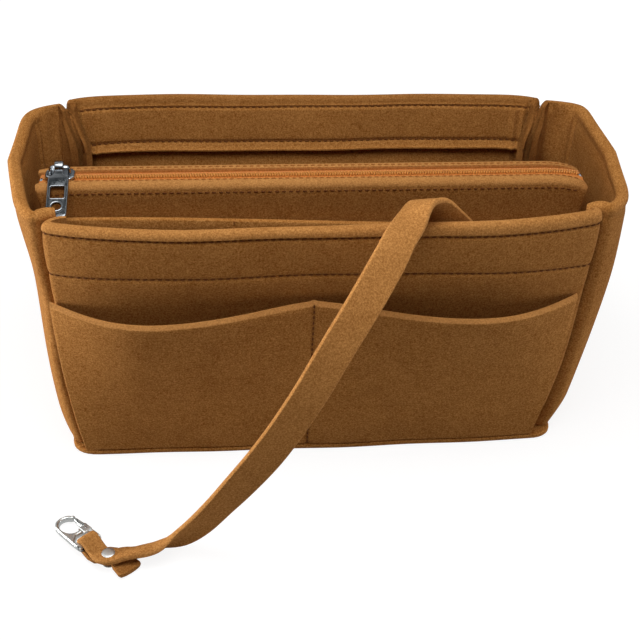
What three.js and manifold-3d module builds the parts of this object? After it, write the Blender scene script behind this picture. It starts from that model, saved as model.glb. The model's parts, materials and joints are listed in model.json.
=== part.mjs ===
// Felt purse organizer insert: an open felt tub with outer pockets, a zip pouch that
// lifts out of its middle, and a key strap that ends in a lobster clasp.
// Millimetres, +Z up, +X along the length, -Y towards the front pockets.
// The origin is at the middle of the base, on the surface that the insert stands on.

import * as THREE from 'three';
import { mergeVertices } from 'three/addons/utils/BufferGeometryUtils.js';
import Module from 'manifold-3d';

const wasm = await Module();
wasm.setup();

// Tub: the planes of the walls meet in corner lines that lean outwards
const HEIGHT = 144;
const BASE_LENGTH = 247;
const BASE_DEPTH = 106;
const RIM_LENGTH = 266;
const RIM_DEPTH = 116;
const BASE_BOW = 1.5;
const RIM_BOW = 16;
const BOW_POWER = 3.5;
const FELT = 3;
const SEAT = 0.3;

// Rim hem, folded over to the inside, and the corner seams with their inner fins
const HEM_DEPTH = 34;
const HEM_EDGE = 1.5;
const RIM_ROUND = 3;
const RIM_ROUND_INSET = 0.8;
const RIM_TOP_INSET = 2;
const CORNER_RADIUS = 4.2;
const SEAM_THICKNESS = 3.6;
const FIN_LENGTH = 9;
const CORNER_STEPS = 5;
const WALL_STEPS = 8;
const WALL_ROWS = 3;
const TOUCH_STEPS = 40;
const BASE_CORNER = 6;
const BASE_CURVE_STEPS = 8;
const HALF_TURN = Math.PI;
const DIAGONAL = Math.SQRT1_2;

// Outer pockets, sewn down at both sides, along the base and down the middle
const POCKET_INSET = 6;
const POCKET_END_HEIGHT = 99;
const POCKET_CENTRE_HEIGHT = 105;
const POCKET_SCOOP = 4.3;
const POCKET_GAPE_POWER = 1.35;
const POCKET_BELLY = 8;
const POCKET_BELLY_POWER = 1.6;
const POCKET_COLUMNS = 24;
const POCKET_ROWS = 5;

// Zip pouch that stands across the middle of the tub
const POUCH_THICKNESS = 22;
const POUCH_DROP = 10.5;
const POUCH_SLOT = 11.6;
const POUCH_BEND = 3.4;
const POUCH_BEND_STEPS = 4;
const POUCH_CORNER = 5;
const SLIP_POCKET_DROP = 32;
const SLIP_POCKET_INSET = 3;
const SLIP_POCKET_LEAN = 1.5;

// Hook and loop patches that hold the pouch to the end walls
const PATCH_WIDTH = 18;
const PATCH_HEIGHT = 22;
const PATCH_THICKNESS = 1.6;
const PATCH_DROP = 52;

// Nylon coil zip
const TAPE_THICKNESS = 0.8;
const TAPE_END = 0.5;
const COIL_WIDTH = 2.4;
const COIL_HEIGHT = 2.2;
const COIL_GAP = 1.2;
const COIL_CHAMFER = 0.6;
const STOP_LENGTH = 2;
const STOP_WIDTH = 6.4;
const STOP_HEIGHT = 2.2;

// Zip slider: two plates on a thin web, with a bail for the pull
const SLIDER_LENGTH = 14;
const SLIDER_WIDTH = 10.5;
const SLIDER_PLATE = 1.2;
const SLIDER_WEB = 0.6;
const SLIDER_CLEARANCE = 0.4;
const SLIDER_END = 1;
const BAIL_LENGTH = 10.4;
const BAIL_BAR = 1.3;
const BAIL_WIDTH = 2;
const BAIL_OPENING = 3;
const BAIL_SINK = 0.4;

// Zip pull, resting on the front lip of the pouch
const PULL_LENGTH = 33;
const PULL_WIDTH = 11;
const PULL_THICKNESS = 1.6;
const PULL_CORNER = 4;
const PULL_EYE_RADIUS = 2.7;
const PULL_EYE_BORE = 1.5;
const PULL_NECK = 4.2;
const PULL_SHOULDER = 4.6;
const PULL_WINDOW_START = 13;
const PULL_WINDOW_LENGTH = 7;
const PULL_WINDOW_WIDTH = 6.4;
const PULL_HOLE_CENTRE = 25.2;
const PULL_HOLE_RADIUS = 2.4;
const ROUND_SIDES = 20;

// Key strap: each point of its route, then the direction across the strap there
const STRAP_WIDTH = 16;
const STRAP_END_WIDTH = 10;
const STRAP_TAPER = 50;
const STRAP_THICKNESS = 2.8;
const STRAP_STEP = 5;
const STRAP_ROUTE = [
  [72, -61.4, 122, -0.74, 0, -0.67],
  [65, -62.2, 129.5, -0.74, 0, -0.67],
  [58, -63.4, 137, -0.75, 0, -0.66],
  [52, -64.4, 143.5, -0.78, 0.06, -0.62],
  [47, -65.2, 149.2, -0.83, 0.22, -0.5],
  [43, -67.4, 153.6, -0.86, 0.4, -0.28],
  [39, -71.4, 155.2, -0.87, 0.48, 0.05],
  [35.3, -77.7, 154.5, -0.88, 0.34, 0.3],
  [32, -83.7, 152.3, -0.88, 0.15, 0.43],
  [27.4, -90, 149.2, -0.88, 0.03, 0.46],
  [21.2, -99.1, 142.8, -0.88, 0, 0.474],
  [9.8, -112.1, 129.8, -0.88, 0, 0.474],
  [-1.9, -121.1, 113.5, -0.86, 0, 0.5],
  [-12.1, -126.1, 95.7, -0.85, 0, 0.52],
  [-22.9, -128.1, 76.3, -0.83, 0, 0.55],
  [-31.7, -128.2, 61.2, -0.8, 0, 0.6],
  [-42, -127.2, 45.1, -0.75, -0.1, 0.66],
  [-52.3, -125.7, 29.7, -0.64, -0.26, 0.72],
  [-62.2, -125, 17.5, -0.55, -0.3, 0.78],
  [-71.4, -125.2, 10.2, -0.36, -0.4, 0.84],
  [-81.5, -127.2, 7, -0.05, -0.8, 0.6],
  [-90.5, -129.6, 6, -0.1, -0.97, 0.25],
  [-97, -130.9, 5.8, -0.25, -0.96, 0.14],
  [-102.4, -131.6, 5.75, -0.5, -0.85, 0.08],
];

// Riveted end of the strap: it turns round the clasp's bar and comes back underneath
const RIVET_POINT = [-106.4, -130.6];
const CLASP_HEADING = THREE.MathUtils.degToRad(130);
const LOOP_REACH = 10.4;
const LOOP_BEND = 3.2;
const BAR_SHIFT = 0.2;
const LOOP_STEPS = 6;
const LOOP_WIDTH = 9;
const LAYER_GAP = 0.35;
const TAIL_HEIGHT = 2.6;
const TAIL_END_HEIGHT = 2;
const TAIL_LENGTH = 14;
const RIVET_HEAD = 3.9;
const RIVET_FLAT = 4;
const RIVET_DOME = 1.3;
const RIVET_POST = 1.5;
const RIVET_FOOT = 3.4;
const RIVET_FOOT_THICKNESS = 0.75;

// Lobster clasp: along U from the bar in the strap to the tip of the hook
const CLASP_LENGTH = 24.5;
const CLASP_THICKNESS = 4;
const BAR = 1.8;
const EYE_OUTER_HALF = 6.3;
const EYE_HALF = 4.8;
const EYE_STRAIGHT = 5;
const EYE_NECK_HALF = 1.6;
const EYE_LENGTH = 8;
const HOOK_HALF = 6;
const HOLE_MIDDLE = 16.2;
const HOLE_HALF_LENGTH = 6;
const HOLE_HALF_WIDTH = 4.1;
const GATE_START = 10.9;
const GATE_END = 19.8;
const GATE_THICKNESS = 2;
const GATE_WIDTH = 2;
const GATE_HUB = 1.9;
const GATE_THUMB = 1.6;
const PIVOT_U = 8.8;
const PIVOT_V = 4.2;
const PIN_RADIUS = 0.7;
const PIN_CLEARANCE = 0.15;
const SPRING_RADIUS = 1.5;
const SPRING_HEIGHT = 1;
const HOOK_CURVE_STEPS = 10;
const CLASP_DROP = 3.3;

// Finishes
const FELT_FINISH = { color: 0xa56c36, roughness: 0.95, metalness: 0 };
const STRAP_FINISH = { color: 0xad7440, roughness: 0.85, metalness: 0 };
const TAPE_FINISH = { color: 0xb9702f, roughness: 0.8, metalness: 0 };
const COIL_FINISH = { color: 0xc8803c, roughness: 0.5, metalness: 0 };
const PATCH_FINISH = { color: 0x7d5229, roughness: 1, metalness: 0 };
const NICKEL_FINISH = { color: 0xc9ccce, roughness: 0.2, metalness: 1 };

// Where things lie
const MERGE_DISTANCE = 1e-4;
const FLOOR = FELT + SEAT;
const HEM_BOTTOM = HEIGHT - HEM_DEPTH;
const HEM_THICKNESS = 2 * FELT;
const POUCH_BOTTOM = FLOOR + SEAT;
const POUCH_TOP = HEIGHT - POUCH_DROP;
const SLIP_POCKET_TOP = HEIGHT - SLIP_POCKET_DROP;
const PATCH_MIDDLE = HEIGHT - PATCH_DROP;
const TAPE_TOP = POUCH_TOP - FELT - SEAT;
const TAPE_BOTTOM = TAPE_TOP - TAPE_THICKNESS;
const COIL_BOTTOM = TAPE_TOP + SEAT;
const COIL_TOP = COIL_BOTTOM + COIL_HEIGHT;
const SLIDER_TOP = COIL_TOP + SLIDER_CLEARANCE + SLIDER_PLATE;
const PULL_AXIS_HEIGHT = SLIDER_TOP + BAIL_OPENING + BAIL_BAR / 2;

const mix = THREE.MathUtils.lerp;
const along = (z) => z / HEIGHT;
const halfLength = (z) => mix(BASE_LENGTH, RIM_LENGTH, along(z)) / 2;
const halfDepth = (z) => mix(BASE_DEPTH, RIM_DEPTH, along(z)) / 2;
const bow = (z) => mix(BASE_BOW, RIM_BOW, along(z));
const wallSwell = (a, halfSpan, z) => bow(z) * (1 - Math.abs(a / halfSpan) ** BOW_POWER);

const insert = new THREE.Group();

function addPiece(name, geometry, finish, parent = insert) {
  geometry.computeVertexNormals();
  const piece = new THREE.Mesh(geometry, new THREE.MeshStandardMaterial(finish));
  piece.name = name;
  parent.add(piece);
  return piece;
}

// Closed geometry from points and triangle indices, with its faces turned outwards
function closedGeometry(points, faces) {
  let volume = 0;
  for (let k = 0; k < faces.length; k += 3) {
    const [a, b, c] = [points[faces[k]], points[faces[k + 1]], points[faces[k + 2]]];
    volume += a.dot(b.clone().cross(c));
  }
  if (volume < 0) {
    faces.reverse();
  }
  const geometry = new THREE.BufferGeometry();
  const flat = points.flatMap((point) => point.toArray());
  geometry.setAttribute('position', new THREE.Float32BufferAttribute(flat, 3));
  geometry.setIndex(faces);
  return geometry;
}

// Sheet from a grid of point pairs: each pair is the sheet's outer and inner face
function sheetGeometry(grid) {
  const rows = grid[0].length;
  const last = grid.length - 1;
  const top = rows - 1;
  const points = grid.flat(2);
  const at = (i, j, face) => (i * rows + j) * 2 + face;
  const faces = [];
  const quad = (a, b, c, d) => faces.push(a, b, c, a, c, d);
  for (let i = 0; i < last; i += 1) {
    for (let j = 0; j < top; j += 1) {
      quad(at(i, j, 0), at(i + 1, j, 0), at(i + 1, j + 1, 0), at(i, j + 1, 0));
      quad(at(i, j, 1), at(i, j + 1, 1), at(i + 1, j + 1, 1), at(i + 1, j, 1));
    }
    quad(at(i, 0, 0), at(i, 0, 1), at(i + 1, 0, 1), at(i + 1, 0, 0));
    quad(at(i, top, 0), at(i + 1, top, 0), at(i + 1, top, 1), at(i, top, 1));
  }
  for (let j = 0; j < top; j += 1) {
    quad(at(0, j, 0), at(0, j + 1, 0), at(0, j + 1, 1), at(0, j, 1));
    quad(at(last, j, 0), at(last, j, 1), at(last, j + 1, 1), at(last, j + 1, 0));
  }
  return closedGeometry(points, faces);
}

function solidOf(geometry) {
  const bare = geometry.clone();
  bare.deleteAttribute('normal');
  bare.deleteAttribute('uv');
  const merged = mergeVertices(bare, MERGE_DISTANCE);
  return new wasm.Manifold(new wasm.Mesh({
    numProp: 3,
    vertProperties: Float32Array.from(merged.attributes.position.array),
    triVerts: Uint32Array.from(merged.index.array),
  }));
}

function geometryOf(solid) {
  const mesh = solid.getMesh();
  const geometry = new THREE.BufferGeometry();
  geometry.setAttribute('position', new THREE.Float32BufferAttribute(mesh.vertProperties, 3));
  geometry.setIndex(Array.from(mesh.triVerts));
  return geometry;
}

// Extrusions centred on the shape's plane, along X, Y or Z
const AXIS_X = new THREE.Matrix4().makeBasis(
  new THREE.Vector3(0, 1, 0), new THREE.Vector3(0, 0, 1), new THREE.Vector3(1, 0, 0));
const AXIS_Y = new THREE.Matrix4().makeBasis(
  new THREE.Vector3(1, 0, 0), new THREE.Vector3(0, 0, 1), new THREE.Vector3(0, -1, 0));
const AXIS_Z = new THREE.Matrix4();

function extrude(shape, depth, axis, curveSegments = HOOK_CURVE_STEPS) {
  const geometry = new THREE.ExtrudeGeometry(shape, { depth, bevelEnabled: false, curveSegments });
  return geometry.translate(0, 0, -depth / 2).applyMatrix4(axis);
}

function polygon(corners) {
  return new THREE.Shape(corners.map(([x, y]) => new THREE.Vector2(x, y)));
}

function rectangle(x0, y0, x1, y1) {
  return polygon([[x0, y0], [x1, y0], [x1, y1], [x0, y1]]);
}

function box(x0, x1, y0, y1, z0, z1) {
  const geometry = new THREE.BoxGeometry(x1 - x0, y1 - y0, z1 - z0);
  return geometry.translate((x0 + x1) / 2, (y0 + y1) / 2, (z0 + z1) / 2);
}

function disc(radius, z0, z1) {
  const geometry = new THREE.CylinderGeometry(radius, radius, z1 - z0, ROUND_SIDES);
  return geometry.rotateX(HALF_TURN / 2).translate(0, 0, (z0 + z1) / 2);
}

// Outer face of a wall at a distance A along it, with its outward normal
function wallPoint(a, halfSpan, standOff, z) {
  const slope = BOW_POWER * bow(z) * Math.abs(a / halfSpan) ** (BOW_POWER - 1) / halfSpan;
  return {
    point: new THREE.Vector2(a, standOff + wallSwell(a, halfSpan, z)),
    normal: new THREE.Vector2(slope, 1).normalize(),
    seam: false,
  };
}

// Where the round of the corner leaves the wall, so that it ends on the corner's seam line
function cornerTouch(halfSpan, standOff, z, side) {
  const corner = new THREE.Vector2(halfSpan, standOff);
  let near = 0;
  let far = halfSpan;
  for (let k = 0; k < TOUCH_STEPS; k += 1) {
    const a = (near + far) / 2;
    const { point, normal } = wallPoint(a, halfSpan, standOff, z);
    const gap = point.addScaledVector(normal, -CORNER_RADIUS).sub(corner).dot(side);
    if (gap > CORNER_RADIUS + SEAT / 2) {
      near = a;
    } else {
      far = a;
    }
  }
  return near;
}

// One wall at one height, from the end of its left fin to the end of its right fin:
// points A along the wall and O out from the middle, with their outward normals
function wallStations(halfSpan, standOff, z) {
  const fin = new THREE.Vector2(-DIAGONAL, -DIAGONAL);
  const side = new THREE.Vector2(-DIAGONAL, DIAGONAL);
  const touch = cornerTouch(halfSpan, standOff, z, side);
  const right = [];
  for (let k = 1; k <= WALL_STEPS; k += 1) {
    const a = touch * Math.sin(HALF_TURN / 2 * k / WALL_STEPS);
    right.push({ ...wallPoint(a, halfSpan, standOff, z), seam: k === WALL_STEPS });
  }
  const turn = right[right.length - 1];
  const centre = turn.point.clone().addScaledVector(turn.normal, -CORNER_RADIUS);
  const start = turn.normal.angle();
  const end = -HALF_TURN / 4;
  for (let k = 1; k <= CORNER_STEPS; k += 1) {
    const angle = mix(start, end, k / CORNER_STEPS);
    const normal = new THREE.Vector2(Math.cos(angle), Math.sin(angle));
    right.push({ point: centre.clone().addScaledVector(normal, CORNER_RADIUS), normal, seam: true });
  }
  const root = right[right.length - 1];
  right.push({ ...root, point: root.point.clone().addScaledVector(fin, FIN_LENGTH) });
  const mirror = ({ point, normal, seam }) => ({
    point: new THREE.Vector2(-point.x, point.y),
    normal: new THREE.Vector2(-normal.x, normal.y),
    seam,
  });
  return [...right.map(mirror).reverse(), wallPoint(0, halfSpan, standOff, z), ...right];
}

// Heights of a wall, with how far its outer and inner faces lie in from the wall's plane
function wallRows() {
  const rows = [];
  for (let k = 0; k <= WALL_ROWS; k += 1) {
    rows.push([mix(FLOOR, HEM_BOTTOM - HEM_EDGE, k / WALL_ROWS), 0, FELT]);
  }
  return [
    ...rows,
    [HEM_BOTTOM, 0, HEM_THICKNESS],
    [HEIGHT - RIM_ROUND, 0, HEM_THICKNESS],
    [HEIGHT - RIM_ROUND_INSET, RIM_ROUND_INSET, HEM_THICKNESS - RIM_ROUND_INSET],
    [HEIGHT, RIM_TOP_INSET, HEM_THICKNESS - RIM_TOP_INSET],
  ];
}

function wallGeometry(halfSpanAt, standOffAt, place) {
  const rows = wallRows();
  const stations = rows.map(([z]) => wallStations(halfSpanAt(z), standOffAt(z), z));
  const grid = stations[0].map((_, i) => rows.map(([z, outer, inner], j) => {
    const { point, normal, seam } = stations[j][i];
    return [outer, seam ? Math.min(inner, SEAM_THICKNESS) : inner].map((depth) => {
      const moved = point.clone().addScaledVector(normal, -depth);
      return place(moved.x, moved.y, z);
    });
  }));
  return sheetGeometry(grid);
}

const toFront = (a, o, z) => new THREE.Vector3(a, -o, z);
const toBack = (a, o, z) => new THREE.Vector3(-a, o, z);
const toRight = (a, o, z) => new THREE.Vector3(o, a, z);
const toLeft = (a, o, z) => new THREE.Vector3(-o, -a, z);

function addTub() {
  addPiece('front_panel', wallGeometry(halfLength, halfDepth, toFront), FELT_FINISH);
  addPiece('back_panel', wallGeometry(halfLength, halfDepth, toBack), FELT_FINISH);
  addPiece('left_side_panel', wallGeometry(halfDepth, halfLength, toLeft), FELT_FINISH);
  addPiece('right_side_panel', wallGeometry(halfDepth, halfLength, toRight), FELT_FINISH);
}

// Base sheet, whose edge runs out under the outer pockets
function addBase() {
  const x = halfLength(0);
  const y = halfDepth(0) + SEAT + FELT;
  const r = BASE_CORNER;
  const swell = 2 * BASE_BOW;
  const outline = new THREE.Shape();
  outline.moveTo(-x + r, -y);
  outline.quadraticCurveTo(0, -y - swell, x - r, -y);
  outline.quadraticCurveTo(x, -y, x, -y + r);
  outline.quadraticCurveTo(x + swell, 0, x, y - r);
  outline.quadraticCurveTo(x, y, x - r, y);
  outline.quadraticCurveTo(0, y + swell, -x + r, y);
  outline.quadraticCurveTo(-x, y, -x, y - r);
  outline.quadraticCurveTo(-x - swell, 0, -x, -y + r);
  outline.quadraticCurveTo(-x, -y, -x + r, -y);
  const geometry = extrude(outline, FELT, AXIS_Z, BASE_CURVE_STEPS);
  addPiece('base_panel', geometry.translate(0, 0, FELT / 2), FELT_FINISH);
}

// Outer pocket: one sheet sewn down the middle, so that two mouths gape
function pocketGeometry(place) {
  const grid = [];
  for (let i = 0; i <= POCKET_COLUMNS; i += 1) {
    const u = mix(-1, 1, i / POCKET_COLUMNS);
    const gape = Math.sin(HALF_TURN * Math.abs(u) ** POCKET_GAPE_POWER);
    const mouth = mix(POCKET_CENTRE_HEIGHT, POCKET_END_HEIGHT, Math.abs(u)) - POCKET_SCOOP * gape;
    const column = [];
    for (let j = 0; j <= POCKET_ROWS; j += 1) {
      const v = j / POCKET_ROWS;
      const z = mix(FLOOR, mouth, v);
      const span = halfLength(z);
      const a = u * (span - POCKET_INSET);
      const belly = POCKET_BELLY * gape * v ** POCKET_BELLY_POWER;
      const back = halfDepth(z) + wallSwell(a, span, z) + SEAT + belly;
      column.push([place(a, back + FELT, z), place(a, back, z)]);
    }
    grid.push(column);
  }
  return sheetGeometry(grid);
}

function addOuterPockets() {
  addPiece('front_outer_pocket', pocketGeometry(toFront), FELT_FINISH);
  addPiece('back_outer_pocket', pocketGeometry(toBack), FELT_FINISH);
}

// End wall at its middle: the lean of its plane and the inner face of its hem
const WALL_LEAN = Math.atan((halfLength(HEIGHT) + bow(HEIGHT) - halfLength(0) - bow(0)) / HEIGHT);
const PATCH_SAG = bow(PATCH_MIDDLE) - wallSwell(PATCH_WIDTH / 2, halfDepth(PATCH_MIDDLE), PATCH_MIDDLE);
const PATCH_CLEARANCE = SEAT + PATCH_SAG;
const hemFace = (z) => halfLength(z) + bow(z) - HEM_THICKNESS;
const POUCH_END_GAP = (PATCH_CLEARANCE + 2 * PATCH_THICKNESS + 2 * SEAT) / Math.cos(WALL_LEAN);
const pouchEnd = (z) => hemFace(z) - POUCH_END_GAP;

// The wall's patch stands on a felt pad as thick as the hem above it
function addPatches(pouch) {
  for (const [side, name] of [[-1, 'left'], [1, 'right']]) {
    const layers = [
      [`wall_loop_patch_${name}`, PATCH_CLEARANCE - FELT, FELT + PATCH_THICKNESS, insert],
      [`pouch_hook_patch_${name}`, PATCH_CLEARANCE + PATCH_THICKNESS + SEAT, PATCH_THICKNESS, pouch],
    ];
    for (const [title, start, thickness, parent] of layers) {
      const geometry = new THREE.BoxGeometry(thickness, PATCH_WIDTH, PATCH_HEIGHT);
      const patch = addPiece(title, geometry, PATCH_FINISH, parent);
      const depth = start + thickness / 2;
      const x = hemFace(PATCH_MIDDLE) - depth * Math.cos(WALL_LEAN);
      patch.position.set(side * x, 0, PATCH_MIDDLE + depth * Math.sin(WALL_LEAN));
      patch.rotation.y = side * WALL_LEAN;
    }
  }
}

// Face panel of the pouch: up the face, round the bend and over to the zip
function pouchPanelGeometry(side) {
  const half = POUCH_THICKNESS / 2;
  const rows = [[-half, POUCH_BOTTOM, -half + FELT, POUCH_BOTTOM]];
  const bendY = -half + POUCH_BEND;
  const bendZ = POUCH_TOP - POUCH_BEND;
  for (let k = 0; k <= POUCH_BEND_STEPS; k += 1) {
    const angle = mix(HALF_TURN, HALF_TURN / 2, k / POUCH_BEND_STEPS);
    const [c, s] = [Math.cos(angle), Math.sin(angle)];
    const inner = POUCH_BEND - FELT;
    rows.push([bendY + POUCH_BEND * c, bendZ + POUCH_BEND * s, bendY + inner * c, bendZ + inner * s]);
  }
  rows.push([-POUCH_SLOT / 2, POUCH_TOP, -POUCH_SLOT / 2, POUCH_TOP - FELT]);
  const endAt = (z) => {
    const rise = Math.max(0, z - (POUCH_TOP - POUCH_CORNER));
    return pouchEnd(z) - POUCH_CORNER + Math.sqrt(POUCH_CORNER ** 2 - rise ** 2);
  };
  const grid = [-1, 1].map((end) => rows.map(([y0, z0, y1, z1]) => [
    new THREE.Vector3(end * endAt(z0), -side * y0, z0),
    new THREE.Vector3(end * endAt(z0), -side * y1, z1),
  ]));
  return sheetGeometry(grid);
}

// Felt band between the two faces: down one end, along the bottom and up the other end
function gussetGeometry() {
  const top = TAPE_BOTTOM - SEAT;
  const floor = POUCH_BOTTOM + FELT;
  const outline = polygon([
    [-pouchEnd(top), top], [-pouchEnd(POUCH_BOTTOM), POUCH_BOTTOM],
    [pouchEnd(POUCH_BOTTOM), POUCH_BOTTOM], [pouchEnd(top), top],
    [pouchEnd(top) - FELT, top], [pouchEnd(floor) - FELT, floor],
    [-pouchEnd(floor) + FELT, floor], [-pouchEnd(top) + FELT, top],
  ]);
  return extrude(outline, POUCH_THICKNESS - 2 * FELT - 2 * SEAT, AXIS_Y);
}

function slipPocketGeometry() {
  const face = -POUCH_THICKNESS / 2 - SEAT;
  const rows = [[POUCH_BOTTOM, 0], [SLIP_POCKET_TOP, SLIP_POCKET_LEAN]];
  const grid = [-1, 1].map((end) => rows.map(([z, lean]) => {
    const x = end * (pouchEnd(z) - SLIP_POCKET_INSET);
    return [new THREE.Vector3(x, face - lean - FELT, z), new THREE.Vector3(x, face - lean, z)];
  }));
  return sheetGeometry(grid);
}

const TAPE_HALF = pouchEnd(TAPE_TOP) - TAPE_END;
const COIL_HALF = TAPE_HALF - STOP_LENGTH - SEAT;

function addZip(pouch) {
  const tapeEdge = POUCH_THICKNESS / 2 - FELT - SEAT;
  const coilEdge = COIL_GAP / 2 + COIL_WIDTH;
  for (const [side, name] of [[-1, 'front'], [1, 'back']]) {
    const tape = rectangle(side * COIL_GAP / 2, TAPE_BOTTOM, side * tapeEdge, TAPE_TOP);
    addPiece(`zip_tape_${name}`, extrude(tape, 2 * TAPE_HALF, AXIS_X), TAPE_FINISH, pouch);
    const coil = polygon([
      [side * COIL_GAP / 2, COIL_BOTTOM], [side * coilEdge, COIL_BOTTOM],
      [side * coilEdge, COIL_TOP - COIL_CHAMFER], [side * (coilEdge - COIL_CHAMFER), COIL_TOP],
      [side * COIL_GAP / 2, COIL_TOP],
    ]);
    addPiece(`zip_coil_${name}`, extrude(coil, 2 * COIL_HALF, AXIS_X), COIL_FINISH, pouch);
  }
  for (const [side, name] of [[-1, 'left'], [1, 'right']]) {
    const outer = side * TAPE_HALF;
    const inner = side * (TAPE_HALF - STOP_LENGTH);
    const stop = box(Math.min(outer, inner), Math.max(outer, inner), -STOP_WIDTH / 2, STOP_WIDTH / 2,
      TAPE_TOP + SEAT, TAPE_TOP + SEAT + STOP_HEIGHT);
    addPiece(`zip_stop_${name}`, stop, NICKEL_FINISH, pouch);
  }
}

// Slider section across the zip: channel plate above, flat plate below, web between the coils
function sliderGeometry() {
  const half = SLIDER_WIDTH / 2;
  const web = SLIDER_WEB / 2;
  const channel = COIL_GAP / 2 + COIL_WIDTH + SLIDER_CLEARANCE;
  const roof = COIL_TOP + SLIDER_CLEARANCE;
  const skirt = TAPE_TOP + SLIDER_CLEARANCE;
  const lower = TAPE_BOTTOM - SLIDER_CLEARANCE;
  const foot = lower - SLIDER_PLATE;
  const rightSide = [
    [half, foot], [half, lower], [web, lower], [web, roof],
    [channel, roof], [channel, skirt], [half, skirt], [half, SLIDER_TOP],
  ];
  const leftSide = rightSide.map(([y, z]) => [-y, z]).reverse();
  const body = extrude(polygon([...rightSide, ...leftSide]), SLIDER_LENGTH, AXIS_X);
  const reach = BAIL_LENGTH / 2;
  const crown = SLIDER_TOP + BAIL_OPENING;
  const arch = polygon([
    [-reach, SLIDER_TOP - BAIL_SINK], [-reach, crown], [-reach + BAIL_BAR, crown + BAIL_BAR],
    [reach - BAIL_BAR, crown + BAIL_BAR], [reach, crown], [reach, SLIDER_TOP - BAIL_SINK],
    [reach - BAIL_BAR, SLIDER_TOP - BAIL_SINK], [reach - BAIL_BAR, crown],
    [-reach + BAIL_BAR, crown], [-reach + BAIL_BAR, SLIDER_TOP - BAIL_SINK],
  ]);
  const bail = extrude(arch, BAIL_WIDTH, AXIS_Y);
  return geometryOf(solidOf(body).add(solidOf(bail)));
}

// Pull plate along -Y from its hinge, with a window, a round hole and an eye for the bail
function pullGeometry() {
  const half = PULL_WIDTH / 2;
  const outline = new THREE.Shape();
  outline.moveTo(-PULL_NECK / 2, -PULL_EYE_BORE - SEAT);
  outline.lineTo(-PULL_NECK / 2, -PULL_SHOULDER);
  outline.lineTo(-half, -PULL_SHOULDER - PULL_THICKNESS);
  outline.lineTo(-half, -PULL_LENGTH + PULL_CORNER);
  outline.absarc(-half + PULL_CORNER, -PULL_LENGTH + PULL_CORNER, PULL_CORNER, HALF_TURN, 1.5 * HALF_TURN);
  outline.absarc(half - PULL_CORNER, -PULL_LENGTH + PULL_CORNER, PULL_CORNER, 1.5 * HALF_TURN, 2 * HALF_TURN);
  outline.lineTo(half, -PULL_SHOULDER - PULL_THICKNESS);
  outline.lineTo(PULL_NECK / 2, -PULL_SHOULDER);
  outline.lineTo(PULL_NECK / 2, -PULL_EYE_BORE - SEAT);
  const window = PULL_WINDOW_WIDTH / 2;
  outline.holes.push(rectangle(
    -window, -PULL_WINDOW_START - PULL_WINDOW_LENGTH, window, -PULL_WINDOW_START));
  const hole = new THREE.Path();
  hole.absarc(0, -PULL_HOLE_CENTRE, PULL_HOLE_RADIUS, 0, 2 * HALF_TURN);
  outline.holes.push(hole);
  const plate = extrude(outline, PULL_THICKNESS, AXIS_Z);
  const ring = new THREE.Shape();
  ring.absarc(0, 0, PULL_EYE_RADIUS, 0, 2 * HALF_TURN);
  const bore = new THREE.Path();
  bore.absarc(0, 0, PULL_EYE_BORE, 0, 2 * HALF_TURN);
  ring.holes.push(bore);
  const eye = extrude(ring, PULL_NECK, AXIS_X);
  return geometryOf(solidOf(plate).add(solidOf(eye)));
}

// The pull lies on the front lip: its plate touches the round of the lip
function pullRest() {
  const down = PULL_AXIS_HEIGHT - (POUCH_TOP - POUCH_BEND);
  const out = POUCH_THICKNESS / 2 - POUCH_BEND;
  const clear = POUCH_BEND + SEAT + PULL_THICKNESS / 2;
  return Math.atan2(down, out) - Math.asin(clear / Math.hypot(down, out));
}

function addPouch() {
  const pouch = new THREE.Group();
  insert.add(pouch);
  addPiece('pouch_front_panel', pouchPanelGeometry(-1), FELT_FINISH, pouch);
  addPiece('pouch_back_panel', pouchPanelGeometry(1), FELT_FINISH, pouch);
  addPiece('pouch_gusset', gussetGeometry(), FELT_FINISH, pouch);
  addPiece('pouch_slip_pocket', slipPocketGeometry(), FELT_FINISH, pouch);
  addZip(pouch);
  addPatches(pouch);
  const rest = -COIL_HALF + SLIDER_END + SLIDER_LENGTH / 2;
  const slider = addPiece('zip_slider', sliderGeometry(), NICKEL_FINISH, pouch);
  slider.position.x = rest;
  const pull = addPiece('zip_pull', pullGeometry(), NICKEL_FINISH, pouch);
  pull.position.set(rest, 0, PULL_AXIS_HEIGHT);
  pull.rotation.x = pullRest();
}

// Riveted end in the plane of the clasp: distance from the rivet, height and width
function strapEnd() {
  const upper = TAIL_HEIGHT + STRAP_THICKNESS + LAYER_GAP;
  const middle = TAIL_HEIGHT + LOOP_BEND;
  const end = [[0, upper, STRAP_END_WIDTH], [RIVET_FLAT, upper, LOOP_WIDTH]];
  for (let k = 0; k <= LOOP_STEPS; k += 1) {
    const angle = mix(HALF_TURN / 2, -HALF_TURN / 2, k / LOOP_STEPS);
    end.push([LOOP_REACH + LOOP_BEND * Math.cos(angle), middle + LOOP_BEND * Math.sin(angle), LOOP_WIDTH]);
  }
  end.push([RIVET_FLAT, TAIL_HEIGHT, LOOP_WIDTH]);
  end.push([-RIVET_FLAT, TAIL_HEIGHT, STRAP_END_WIDTH]);
  end.push([-TAIL_LENGTH, TAIL_END_HEIGHT, STRAP_END_WIDTH]);
  return end;
}

const HEADING = new THREE.Vector3(Math.cos(CLASP_HEADING), Math.sin(CLASP_HEADING), 0);
const ACROSS = new THREE.Vector3(-HEADING.y, HEADING.x, 0);

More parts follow.
